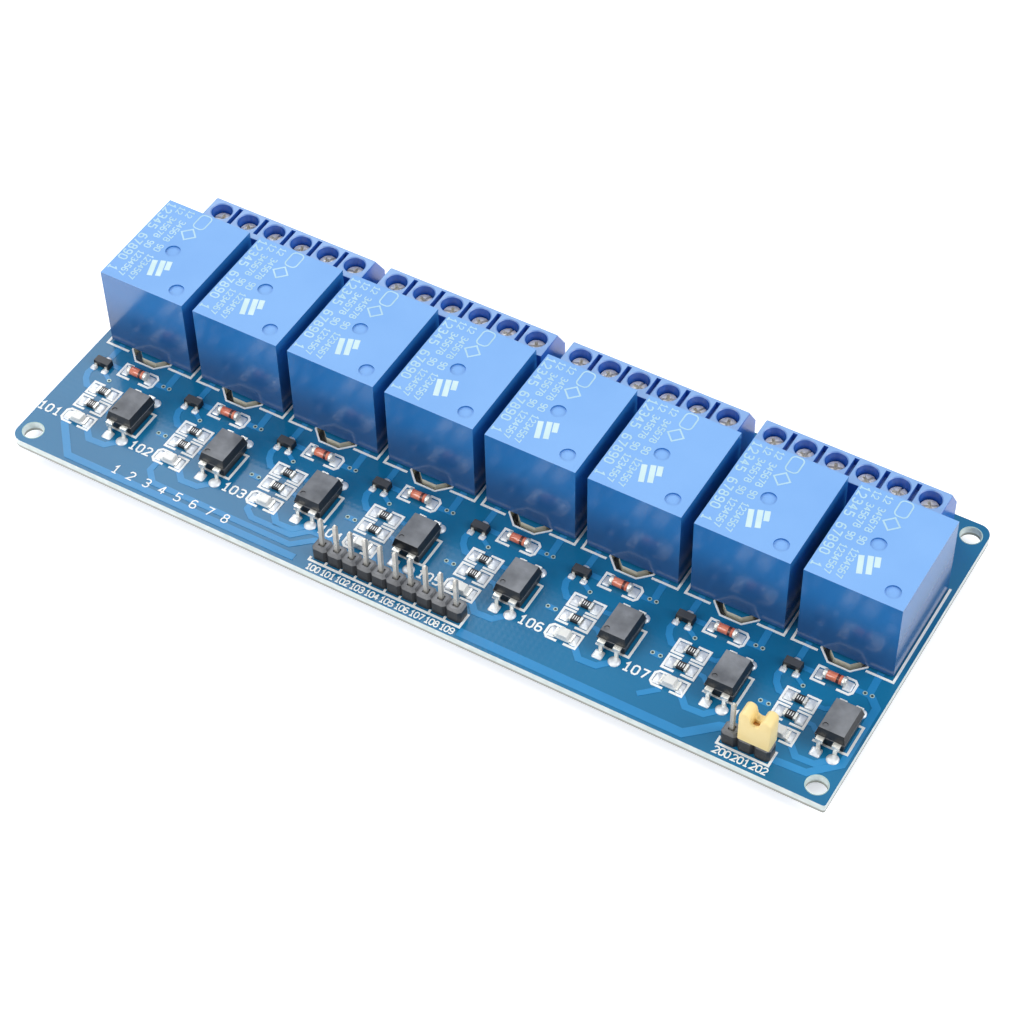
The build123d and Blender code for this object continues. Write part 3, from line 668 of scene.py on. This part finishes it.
def stand_copies(form, xs, name, material, smooth_angle, nodes):
    """A copy of a form at each x, as a piece of its own that stands for a piece of the frame."""
    for i, (x, node) in enumerate(zip(xs, nodes)):
        copy = form.copy()
        bmesh.ops.translate(copy, vec=(x, 0, 0), verts=copy.verts)
        piece = finish_piece(f"{name}_{i + 1}", copy, material, smooth_angle)
        # Flat faces stay flat in the light next to rounded edges.
        piece.modifiers.new("even_shading", "WEIGHTED_NORMAL").keep_sharp = True
        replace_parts(piece, node)
    form.free()


def moulded_finish(name, side, top, painted_top_tone, gloss, scales, grain_depth, mirror=0.5, base=None):
    """Moulded plastic with glossy sides and a satin top face painted paler as painted light; gloss is side
    and top roughness.

    Where base is given, as a colour and two heights, the sides are painted that colour towards the lower
    height as painted shade.
    """
    material, tree, shader, masks = new_finish(name, scales)
    # The sides are painted the base colour towards the lower height as painted shade.
    if base:
        side = blend_colours(tree, height_share(tree, *base[1:]), base[0], side)
    # A paler colour on faces that point up is painted light from above.
    painted_top_light = blend_colours(tree, masks["Patches"], top, painted_top_tone)
    facing_up = add_group(tree, FACING)["Up"]
    tree.links.new(blend_colours(tree, facing_up, side, painted_top_light), shader["Base Color"])
    shader["Specular IOR Level"].default_value = mirror
    add_roughness(tree, facing_up, *gloss)
    add_bump(tree, masks["Grain"], grain_depth)
    return material


def relay_case():
    """One relay case at the origin of its channel."""
    case, marks = bmesh.new(), bmesh.new()
    box(case, 0, RELAY_Y, RELAY_LOW, RELAY_HIGH - PRINT_HEIGHT, *RELAY_SIZE)
    for dx, dy in MARK_SPOTS:
        outline = circle(dx, RELAY_Y + dy, MARK_RADIUS, 40)
        prism(marks, outline, RELAY_HIGH - MARK_DEPTH, RELAY_HIGH + CUT_OVER)
    return cut_from("relay_case_form", case, [marks])


# The relay tops are painted paler than the sides as painted light.
relay_plastic = moulded_finish("relay_blue", (46, 120, 190), (127, 179, 240), (120, 173, 236), (0.15, 0.66),
                               (3000.0, 90.0), 0.002, mirror=0.75, base=RELAY_PAINTED_SHADE)
stand_copies(relay_case(), CHANNEL_XS, "relay_case", relay_plastic, 45,
             [f"relay_{k}" for k in CHANNELS])

# Relay print
# Pale ink printed on each relay top, a hair proud of the plastic.
# Rows of plain figures, a rounded frame, a diamond and three bars.
PRINT_LEVELS = (RELAY_HIGH - PRINT_HEIGHT - 0.01, RELAY_HIGH)
RELAY_FIGURES = [("12345 67890 1", (-7.2, 8.8), (1.35, 1.32, 0.24)),
                 ("12 345678 90 1234567", (-5.15, 8.8), (1.0, 0.86, 0.18)),
                 ("12 345678 90 1234567", (-3.35, 8.8), (1.0, 0.86, 0.18))]
RELAY_LOOPS = [(0.22, rounded_rectangle(-0.1, 7.5, 2.0, 3.1, 0.7)),
               (0.26, [(-0.5, 2.9), (0.8, 4.2), (-0.5, 5.5), (-1.8, 4.2)])]
RELAY_BARS = [[(-1.7, -3.0), (-0.6, -6.2)], [(-0.5, -2.5), (0.6, -5.7)], [(0.5, -2.2), (1.1, -4.0)]]
BAR_WIDTH = 0.85
print_ink = plain_finish("relay_print", (182, 219, 236), (172, 211, 232), (0.4, 0.55),
                         (3000.0, 400.0), 0.004)
bar_ink = plain_finish("relay_bars", (212, 238, 240), (202, 230, 236), (0.4, 0.55),
                       (3000.0, 400.0), 0.004)
prints, bars = bmesh.new(), bmesh.new()
for x in CHANNEL_XS:
    for figures, corner, sizes in RELAY_FIGURES:
        figure_row(prints, figures, (x + corner[0], RELAY_Y + corner[1]), sizes, (0, -1), PRINT_LEVELS)
    for width, outline in RELAY_LOOPS:
        ribbon(prints, moved(outline + outline[:1], x, RELAY_Y), width, *PRINT_LEVELS)
    for points in RELAY_BARS:
        ribbon(bars, moved(points, x, RELAY_Y), BAR_WIDTH, *PRINT_LEVELS)
finish_piece("relay_print", prints, print_ink)
finish_piece("relay_bars", bars, bar_ink)

# Terminal blocks
# Four moulded six-way blocks of satin blue plastic that stand on their soldered pins along the back edge.
# Round screw wells and narrow slits in the top, a wire entry for each way in the back.
(_, BLOCK_FRONT, BLOCK_LOW), (_, BLOCK_BACK, BLOCK_HIGH) = corners("terminal_blocks")
BLOCK_PROFILE = [(BLOCK_FRONT, BLOCK_LOW), (BLOCK_BACK, BLOCK_LOW), (BLOCK_BACK, BLOCK_LOW + 6.4),
                 (BLOCK_BACK - 2.4, BLOCK_HIGH), (BLOCK_FRONT, BLOCK_HIGH)]
BLOCK_EDGE = 0.22
SCREW_Y = middle("terminal_screws")[1]
WELL_PROFILE = [(0, BLOCK_LOW + 6.9), (1.7, BLOCK_LOW + 6.9), (1.7, BLOCK_HIGH - 0.15), (1.85, BLOCK_HIGH),
                (1.85, BLOCK_HIGH + CUT_OVER), (0, BLOCK_HIGH + CUT_OVER)]
# Cuts at each way: their y, low, high, and size along X and Y.
CHAMBER = (20.95, BLOCK_LOW - CUT_OVER, BLOCK_LOW + 7.0, 3.9, 4.7)
WIRE_ENTRY = (24.3, BLOCK_LOW + 1.0, BLOCK_LOW + 4.6, 3.0, 3.0)
SLIT = (SCREW_Y, BLOCK_HIGH - 1.5, BLOCK_HIGH + CUT_OVER, 0.75, 3.7)


def soften(bm, width, segments=2, least_angle=40):
    """Turn a form's faces outwards and round its edges that are sharper than an angle."""
    bmesh.ops.recalc_face_normals(bm, faces=bm.faces)
    least = math.radians(least_angle)
    sharp = [e for e in bm.edges if len(e.link_faces) == 2 and e.calc_face_angle(0) > least]
    bmesh.ops.bevel(bm, geom=sharp, offset=width, offset_type="OFFSET", segments=segments, profile=0.5,
                    affect="EDGES", clamp_overlap=True)


def terminal_block():
    """One block at the middle of the row, with its wells, slits, chambers and wire entries cut."""
    block, wells, slits, rooms = bmesh.new(), bmesh.new(), bmesh.new(), bmesh.new()
    ends = (-BLOCK_LENGTH / 2, BLOCK_LENGTH / 2)
    skin(block, [[block.verts.new((end, y, z)) for y, z in BLOCK_PROFILE] for end in ends])
    soften(block, BLOCK_EDGE)
    for dx in WAY_XS:
        lathe(wells, WELL_PROFILE, Matrix.Translation((dx, SCREW_Y, 0)), 40)
        box(rooms, dx, *CHAMBER)
        box(rooms, dx, *WIRE_ENTRY)
    for dx in WAY_XS[1:]:
        box(slits, dx - WAY_PITCH / 2, *SLIT)
    return cut_from("terminal_block_form", block, [rooms, wells, slits])


# The block tops are painted paler than the sides as painted light.
terminal_plastic = moulded_finish("terminal_blue", (50, 110, 202), (134, 178, 234), (128, 171, 229),
                                  (0.2, 0.42), (3000.0, 110.0), 0.004, mirror=0.8)
stand_copies(terminal_block(), BLOCK_XS, "terminal_block", terminal_plastic, 40,
             ["terminal_blocks"] * BLOCKS)

# Terminal screws
# Nickel-plated screw heads, cross-slotted, turned down onto their clamp cages in the wells.
# Each stopped at its own angle.
SCREW_LOW, SCREW_HIGH = [corner[2] for corner in corners("terminal_screws")]
HEAD_PROFILE = [(0, SCREW_LOW), (1.5, SCREW_LOW), (1.5, SCREW_HIGH - 0.35), (1.36, SCREW_HIGH - 0.12),
                (1.0, SCREW_HIGH), (0, SCREW_HIGH + 0.04)]
# Slots across each head: their depth, and size along X and Y.
HEAD_SLOTS = [(0.6, 3.4, 0.42), (0.75, 0.5, 1.9)]
SCREW_TURNS = [12, 47, 80, 25, 66, 5, 38, 71, 18, 54, 84, 30]


def screw_head():
    """One head at the origin of its well."""
    head, cross = bmesh.new(), bmesh.new()
    lathe(head, HEAD_PROFILE, Matrix.Identity(4), 32)
    for depth, size_x, size_y in HEAD_SLOTS:
        box(cross, 0, 0, SCREW_HIGH - depth, SCREW_HIGH + CUT_OVER, size_x, size_y)
    return cut_from("screw_form", head, [cross])


plated = plain_finish("nickel_plate", (255, 253, 245), (240, 234, 222), (0.3, 0.42), (2500.0, 900.0), 0.015,
                      metallic=0.12)
head_form = screw_head()
screws = bmesh.new()
for i, x in enumerate(bx + wx for bx in BLOCK_XS for wx in WAY_XS):
    head = head_form.copy()
    turn = Matrix.Rotation(math.radians(SCREW_TURNS[i % len(SCREW_TURNS)]), 4, "Z")
    bmesh.ops.transform(head, matrix=Matrix.Translation((x, SCREW_Y, 0)) @ turn, verts=head.verts)
    data = bpy.data.meshes.new("screw_copy")
    head.to_mesh(data)
    head.free()
    screws.from_mesh(data)
    bpy.data.meshes.remove(data)
head_form.free()
screw_piece = finish_piece("terminal_screw_heads", screws, plated, 30)
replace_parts(screw_piece, "terminal_screws")

# Clamp cages and current bars
# Zinc-plated cages that rise as their screws turn, and tinned brass bars that pass through them and end
# in solder pins. They show through the wire entries at the back. The relays' pins are tinned alike.
zinc = plain_finish("zinc_plate", (200, 200, 194), (176, 178, 174), (0.3, 0.46), (2500.0, 500.0), 0.01,
                    metallic=1.0)
tin = plain_finish("tin_plate", (234, 233, 226), (216, 215, 208), (0.22, 0.36), (2500.0, 600.0), 0.008,
                   metallic=0.6)
dress("terminal_cages", zinc)
for node in ("terminal_bars", "relay_pins"):
    dress(node, tin)

# Optocouplers and transistors
# Black moulded resin bodies on bent tinned leads; the optocouplers have a parting line at the leads and a
# round pin mark. The tops are rougher than the sides and painted greyer as a painted sheen.
OPTO_DX = middle("optocoupler_1")[0] - CHANNEL_XS[0]
OPTO_Y = middle("optocoupler_1")[1]
# Sections from the foot up: size along X and Y, and height above the board.
OPTO_SECTIONS = [(4.1, 5.9, 0.3), (4.54, 6.34, 1.98), (4.66, 6.46, 2.0), (4.66, 6.46, 2.1),
                 (4.54, 6.34, 2.12), (3.86, 5.66, 3.5)]
OPTO_EDGE = 0.13
PIN_MARK = (-1.25, -2.1, 0.42)
PIN_MARK_FLOOR = 3.36
TRANSISTOR_EDGE = 0.06
LEAD_EDGE = 0.05
JOIN_REACH = 0.002
LEAST_EDGE_ANGLE = 25


def optocoupler_body():
    """One body at the origin of its channel, tapered above and below its parting line, with its pin mark."""
    body, mark = bmesh.new(), bmesh.new()
    rows = []
    for size_x, size_y, z in OPTO_SECTIONS:
        outline = [(sx * size_x / 2, sy * size_y / 2) for sx, sy in ((-1, -1), (1, -1), (1, 1), (-1, 1))]
        rows.append([body.verts.new((x, y, BOARD_TOP + z)) for x, y in moved(outline, OPTO_DX, OPTO_Y)])
    skin(body, rows)
    soften(body, OPTO_EDGE, 2, 55)
    dx, dy, radius = PIN_MARK
    outline = circle(OPTO_DX + dx, OPTO_Y + dy, radius, 28)
    prism(mark, outline, BOARD_TOP + PIN_MARK_FLOOR, BOARD_TOP + PIN_MARK_FLOOR + CUT_OVER)
    return cut_from("optocoupler_form", body, [mark])


def dress_rounded(node, material, width):
    """Give a frame piece its finish, and round its sharp edges as moulded or stamped edges are."""
    dress(node, material)
    weld = frame["nodes"][node].modifiers.new("join_faces", "WELD")
    weld.merge_threshold = JOIN_REACH * MM
    edge = frame["nodes"][node].modifiers.new("round_edges", "BEVEL")
    edge.width = width * MM
    edge.segments = 2
    edge.limit_method = "ANGLE"
    edge.angle_limit = math.radians(LEAST_EDGE_ANGLE)


# Both resins have their tops painted greyer than the sides as a painted sheen.
resin = moulded_finish("black_resin", (22, 23, 26), (134, 137, 142), (86, 89, 94), (0.34, 0.6),
                       (2600.0, 260.0), 0.012)
small_resin = moulded_finish("small_black_resin", (18, 18, 20), (68, 70, 74), (56, 58, 62), (0.36, 0.55),
                             (2600.0, 400.0), 0.01)
stand_copies(optocoupler_body(), CHANNEL_XS, "optocoupler_body", resin, 40,
             [f"optocoupler_{k}" for k in CHANNELS])
for k in CHANNELS:
    dress_rounded(f"transistor_{k}", small_resin, TRANSISTOR_EDGE)
dress_rounded("optocoupler_leads", tin, LEAD_EDGE)
dress("transistor_leads", tin)

# Diodes
# Small glass cylinders with tinned ends and a dark band at one end, lying in their solder.
# The glass is orange red over the copper-coloured parts inside.
GLASS_PROFILE = [(0, -1.3), (0.6, -1.3), (0.69, -1.15), (0.69, 1.15), (0.6, 1.3), (0, 1.3)]
BAND_PROFILE = [(0.68, 0.35), (0.705, 0.37), (0.705, 0.78), (0.68, 0.8)]
END_PROFILE = [(0, 1.2), (0.7, 1.2), (0.75, 1.27), (0.75, 1.66), (0.68, 1.75), (0, 1.75)]
DIODE_SIDES = 28
glass = plain_finish("orange_glass", (232, 130, 94), (206, 94, 64), (0.1, 0.18), (2000.0, 700.0), 0.004)
set_shader(glass, "Coat Weight", 0.8)
band_ink = plain_finish("dark_band", (92, 36, 28), (70, 28, 24), (0.2, 0.3), (2000.0, 500.0), 0.004)
glasses, bands, ends = bmesh.new(), bmesh.new(), bmesh.new()
for k in CHANNELS:
    lying = Matrix.Translation(middle(f"diode_{k}")) @ Matrix.Rotation(math.pi / 2, 4, "Y")
    lathe(glasses, GLASS_PROFILE, lying, DIODE_SIDES)
    lathe(bands, BAND_PROFILE, lying, DIODE_SIDES, ring=True)
    lathe(ends, END_PROFILE, lying, DIODE_SIDES)
    lathe(ends, END_PROFILE, lying @ Matrix.Rotation(math.pi, 4, "X"), DIODE_SIDES)
glass_piece = finish_piece("diode_glasses", glasses, glass, 40)
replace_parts(glass_piece, *[f"diode_{k}" for k in CHANNELS])
finish_piece("diode_bands", bands, band_ink, 40)
finish_piece("diode_ends", ends, tin, 40)

# Chip resistors
# Ceramic chips with a black glaze on top, tinned ends and three small bars printed in white.
# Two in each channel, held by their solder.
RESISTOR_SPOTS = [(-2.1, -13.8), (-2.1, -16.88)]
RESISTOR_HIGH = corners("resistor_bodies")[1][2]
RESISTOR_BARS = (-0.36, 0.0, 0.36)
RESISTOR_BAR_HALF = 0.34
RESISTOR_BAR_WIDTH = 0.13
RESISTOR_BAR_LEVELS = (RESISTOR_HIGH - 0.02, RESISTOR_HIGH + 0.01)
RESISTOR_EDGE = 0.04
RESISTOR_CAP_EDGE = 0.06
glaze = plain_finish("black_glaze", (34, 34, 36), (26, 26, 28), (0.3, 0.45), (3000.0, 600.0), 0.006)
dress_rounded("resistor_bodies", glaze, RESISTOR_EDGE)
dress_rounded("resistor_caps", tin, RESISTOR_CAP_EDGE)
marks = bmesh.new()
for x, y in [(x + dx, y) for x in CHANNEL_XS for dx, y in RESISTOR_SPOTS]:
    for dx in RESISTOR_BARS:
        bar = [(x + dx, y - RESISTOR_BAR_HALF), (x + dx, y + RESISTOR_BAR_HALF)]
        ribbon(marks, bar, RESISTOR_BAR_WIDTH, *RESISTOR_BAR_LEVELS)
finish_piece("resistor_marks", marks, ink)

# Indicator LEDs
# A white laminate base with plated ends, a small chip on its plated land with a bond wire, and a clear
# resin lens moulded over them. Soldered at both ends.
LED_FLOOR = corners("led_lens_1")[0][2]
LAND_HALF = 0.02
# Lands and ends: their place along X, and size along X and Y.
LANDS = [(-0.2, 0.8, 0.8), (0.6, 0.35, 0.5)]
PLATED_ENDS = [(-1.36, 0.3, 1.54), (1.36, 0.3, 1.54)]
CHIP_DX = -0.15
CHIP_SIZE = 0.36
CHIP_HEIGHT = 0.16
BOND_WIRE = [(CHIP_DX, 0.0), (0.2, 0.1), (0.55, 0.0)]
WIRE_WIDTH = 0.06
WIRE_LEVELS = (LED_FLOOR + CHIP_HEIGHT - 0.01, LED_FLOOR + CHIP_HEIGHT + 0.03)
LED_BASE_EDGE = 0.05
LENS_EDGE = 0.08
lens = plain_finish("led_resin", (255, 255, 252), (248, 250, 246), (0.12, 0.2), (2500.0, 900.0), 0.004)
set_shader(lens, "Transmission Weight", 0.22)
base_white = plain_finish("led_laminate", (246, 248, 247), (236, 240, 238), (0.5, 0.6),
                          (3000.0, 500.0), 0.006)
chip_yellow = plain_finish("led_chip", (206, 196, 112), (182, 172, 92), (0.3, 0.45),
                           (3000.0, 900.0), 0.004)
dress_rounded("led_bases", base_white, LED_BASE_EDGE)
chips, led_ends = bmesh.new(), bmesh.new()
for k in CHANNELS:
    dress_rounded(f"led_lens_{k}", lens, LENS_EDGE)
    x, y, _ = middle(f"led_lens_{k}")
    box(chips, x + CHIP_DX, y, LED_FLOOR + LAND_HALF, LED_FLOOR + CHIP_HEIGHT, CHIP_SIZE, CHIP_SIZE)
    ribbon(chips, moved(BOND_WIRE, x, y), WIRE_WIDTH, *WIRE_LEVELS)
    for dx, size_x, size_y in LANDS:
        box(led_ends, x + dx, y, LED_FLOOR - LAND_HALF, LED_FLOOR + LAND_HALF, size_x, size_y)
    for dx, size_x, size_y in PLATED_ENDS:
        box(led_ends, x + dx, y, BOARD_TOP + LAND_HALF, LED_FLOOR + LAND_HALF, size_x, size_y)
finish_piece("led_chips", chips, chip_yellow)
finish_piece("led_ends", led_ends, tin)

# Pin headers
# Black moulded strips, notched between the ways, pressed onto square tinned pins with tapered tips.
# Ten ways for the inputs, three for the supply.
(_, HEADER_FRONT, _), (_, HEADER_BACK, HEADER_HIGH) = corners("input_header")
HEADER_HALF_DEPTH = (HEADER_BACK - HEADER_FRONT) / 2
HEADER_NOTCH = 0.45
# How much a notch narrows as a share of the inset at the bevelled top.
NOTCH_SHARE = 0.4
HEADER_BEVEL = 0.34
PIN_WELL = 0.95
PIN_WELL_DEPTH = 0.35
PIN_EDGE = 0.06
# The strip tops are painted a paler grey than the sides as painted light.
strip_black = moulded_finish("header_black", (46, 47, 50), (140, 142, 146), (112, 114, 118), (0.4, 0.55),
                             (2600.0, 260.0), 0.01)
pin_tin = plain_finish("pin_plate", (208, 206, 200), (182, 180, 174), (0.25, 0.4), (2500.0, 600.0), 0.008,
                       metallic=0.55)


def way_outline(x, y, inset):
    """The eight corners of one way of a strip, moved in by an inset."""
    half_x, half_y = HEADER_PITCH / 2 - inset, HEADER_HALF_DEPTH - inset
    cut = HEADER_NOTCH - inset * NOTCH_SHARE
    quarter = [(half_x, half_y - cut), (half_x - cut, half_y)]
    half = quarter + [(-px, py) for px, py in reversed(quarter)]
    return moved(half + [(-px, -py) for px, py in half], x, y)


def header_strip(name, pins, node):
    """A strip of ways, each with a bevelled top and a small square well round its pin."""
    strip, wells = bmesh.new(), bmesh.new()
    levels = [(0.0, BOARD_TOP), (0.0, HEADER_HIGH - HEADER_BEVEL), (HEADER_BEVEL, HEADER_HIGH)]
    for x, y in pins:
        rows = []
        for inset, z in levels:
            rows.append([strip.verts.new((px, py, z)) for px, py in way_outline(x, y, inset)])
        skin(strip, rows)
        box(wells, x, y, HEADER_HIGH - PIN_WELL_DEPTH, HEADER_HIGH + CUT_OVER, PIN_WELL, PIN_WELL)
    bmesh.ops.remove_doubles(strip, verts=strip.verts, dist=0.001)
    walls = [face for face in strip.faces if sum(len(edge.link_faces) > 2 for edge in face.edges) >= 2]
    shared = [face for face in walls if abs(face.normal.x) > 0.9]
    bmesh.ops.delete(strip, geom=shared, context="FACES_ONLY")
    form = cut_from(name + "_form", strip, [wells])
    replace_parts(finish_piece(name, form, strip_black, 30), node)


header_strip("input_strip", INPUT_PINS, "input_header")
header_strip("supply_strip", SUPPLY_PINS, "supply_header")
for node in ("input_header_pins", "supply_header_pins"):
    dress_rounded(node, pin_tin, PIN_EDGE)

# Jumper cap
# A pale yellow moulded cap with two ears, pushed over two of the supply pins, and a bronze clip inside it.
# It pulls off upwards.
(CAP_LEFT, CAP_FRONT, CAP_LOW), (CAP_RIGHT, CAP_BACK, CAP_HIGH) = corners("jumper_cap")
CAP_X, CAP_Y, _ = middle("jumper_cap")
EAR_RADIUS = 0.85
NOTCH_RADIUS = 0.65
NOTCH_LOW = CAP_HIGH - 1.9
CAP_EDGE = 0.2
CLIP_SLIT = (1.15, 0.9)
CLIP_SLIT_Y = CAP_Y - 0.4
CLIP_SLIT_LEVELS = (NOTCH_LOW - 0.9, NOTCH_LOW + 0.5)
PIN_POCKET = (1.1, 1.5)
PIN_POCKET_LEVELS = (CAP_LOW - CUT_OVER, CAP_LOW + 5.0)
cap_yellow = plain_finish("cap_yellow", (255, 232, 168), (250, 224, 154), (0.34, 0.46),
                          (3000.0, 300.0), 0.006)
bronze = plain_finish("bronze_clip", (196, 150, 96), (176, 130, 80), (0.25, 0.4), (2500.0, 500.0), 0.008,
                      metallic=1.0)


def jumper_cap():
    """The cap's front outline with two round ears, drawn back through its depth, with pockets and a slit."""
    cap, hollows = bmesh.new(), bmesh.new()
    half_turn = [(math.cos(math.pi * i / 12), math.sin(math.pi * i / 12)) for i in range(13)]
    outline = [(CAP_LEFT, CAP_LOW), (CAP_RIGHT, CAP_LOW)]
    ear_z, notch_z = CAP_HIGH - EAR_RADIUS, NOTCH_LOW + NOTCH_RADIUS
    outline += [(CAP_RIGHT - EAR_RADIUS + EAR_RADIUS * c, ear_z + EAR_RADIUS * s) for c, s in half_turn]
    outline += [(CAP_X + NOTCH_RADIUS * c, notch_z - NOTCH_RADIUS * s) for c, s in half_turn]
    outline += [(CAP_LEFT + EAR_RADIUS + EAR_RADIUS * c, ear_z + EAR_RADIUS * s) for c, s in half_turn]
    skin(cap, [[cap.verts.new((px, y, pz)) for px, pz in outline] for y in (CAP_FRONT, CAP_BACK)])
    soften(cap, CAP_EDGE, 3, 60)
    box(hollows, CAP_X, CLIP_SLIT_Y, *CLIP_SLIT_LEVELS, *CLIP_SLIT)
    for side in (-1, 1):
        box(hollows, CAP_X + side * HEADER_PITCH / 2, CAP_Y, *PIN_POCKET_LEVELS, *PIN_POCKET)
    return cut_from("jumper_cap_form", cap, [hollows])


cap_piece = finish_piece("jumper_cap_shell", jumper_cap(), cap_yellow, 30, "jumper")
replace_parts(cap_piece, "jumper_cap")
dress("jumper_clip", bronze)

# Floor, lights and camera
# A plain pale floor under soft studio light: a broad panel overhead and a smaller one at the left, the
# front and the right. The camera stands where the photograph was taken.
FLOOR_HALF = 3000.0
FLOOR_THICKNESS = 20.0
# The floor within this reach of the middle, along X and Y, lies well below the board.
UNDER_BOARD = (66.0, 20.0)


def seen_rays(tree):
    """1 for the rays that the camera sees, directly, in a reflection or through something clear."""
    rays = add_node(tree, "LightPath").outputs
    seen = rays["Is Camera Ray"]
    for label in ("Is Glossy Ray", "Is Transmission Ray"):
        seen = calculate(tree, "MAXIMUM", seen, rays[label])
    return seen


def floor_finish():
    """A pale floor: white to the camera, brighter at the left in mirrors, with no glow below the board."""
    material = bpy.data.materials.new("pale_floor")
    material.use_nodes = True
    tree = material.node_tree
    shader = tree.nodes["Principled BSDF"].inputs
    shader["Base Color"].default_value = (0.86, 0.86, 0.87, 1)
    shader["Roughness"].default_value = 0.9
    shader["Specular IOR Level"].default_value = 0.0
    shader["Emission Color"].default_value = (1, 1, 1, 1)
    sweep = {"Value": object_place(tree)["X"], "From Min": -0.08, "From Max": 0.06,
             "To Min": 0.95, "To Max": 0.1}
    mirrored = add_node(tree, "MapRange", sweep).outputs["Result"]
    direct = add_node(tree, "LightPath").outputs["Is Camera Ray"]
    level = add_node(tree, "MapRange", {"Value": direct, "To Min": mirrored, "To Max": 0.55})
    glow = calculate(tree, "MULTIPLY", seen_rays(tree), level.outputs["Result"])
    clear = calculate(tree, "SUBTRACT", 1.0, inside_share(tree, UNDER_BOARD))
    tree.links.new(calculate(tree, "MULTIPLY", glow, clear), shader["Emission Strength"])
    return material


floor_mesh = bmesh.new()
box(floor_mesh, 0, 0, -FLOOR_THICKNESS, 0, 2 * FLOOR_HALF, 2 * FLOOR_HALF)
bmesh.ops.transform(floor_mesh, matrix=Matrix.Scale(MM, 4), verts=floor_mesh.verts)
floor = new_object("floor", floor_mesh)
floor.data.materials.append(floor_finish())


def panel_light(name, place, target, size, power):
    """A flat soft light that points at a target, in metres and watts."""
    lamp = bpy.data.lights.new(name, "AREA")
    lamp.shape = "RECTANGLE"
    lamp.size, lamp.size_y = size
    lamp.energy = power
    thing = bpy.data.objects.new(name, lamp)
    thing.location = place
    thing.rotation_euler = (Vector(target) - Vector(place)).to_track_quat("-Z", "Y").to_euler()
    bpy.context.scene.collection.objects.link(thing)


panel_light("overhead_panel", (-0.03, 0.16, 0.8), (0, 0, 0), (0.9, 0.7), 0.85)
panel_light("left_panel", (-0.7, 0.52, 0.8), (0, 0, 0), (0.55, 0.55), 3.7)
panel_light("front_panel", (-0.35, -0.6, 0.42), (0, 0, 0.01), (0.5, 0.5), 3.4)
panel_light("right_panel", (0.62, 0.12, 0.42), (0, 0, 0.01), (0.45, 0.45), 2.95)


def studio_world():
    """Soft white surroundings, brighter where the camera and mirror-like surfaces look at them."""
    surroundings = bpy.data.worlds.new("studio")
    surroundings.use_nodes = True
    tree = surroundings.node_tree
    glow = tree.nodes["Background"].inputs
    glow["Color"].default_value = (0.97, 0.985, 1.0, 1)
    level = add_node(tree, "MapRange", {"Value": seen_rays(tree), "To Min": 0.32, "To Max": 1.0})
    tree.links.new(level.outputs["Result"], glow["Strength"])
    return surroundings


bpy.context.scene.world = studio_world()

CAMERA_PLACE = Vector((0.14269, -0.22941, 0.3098))
# Tilt, roll and turn, in degrees.
CAMERA_ANGLES = (40.90216, 0.966, 30.38665)
camera_data = bpy.data.cameras.new("camera")
camera_data.lens = 97.124
camera_data.sensor_width = 36.0
camera_data.clip_start = 0.01
camera = bpy.data.objects.new("camera", camera_data)
angles = Euler([math.radians(angle) for angle in CAMERA_ANGLES])
camera.matrix_world = Matrix.LocRotScale(CAMERA_PLACE, angles, None)
bpy.context.scene.collection.objects.link(camera)
bpy.context.scene.camera = camera
bpy.context.scene.view_settings.view_transform = "Standard"
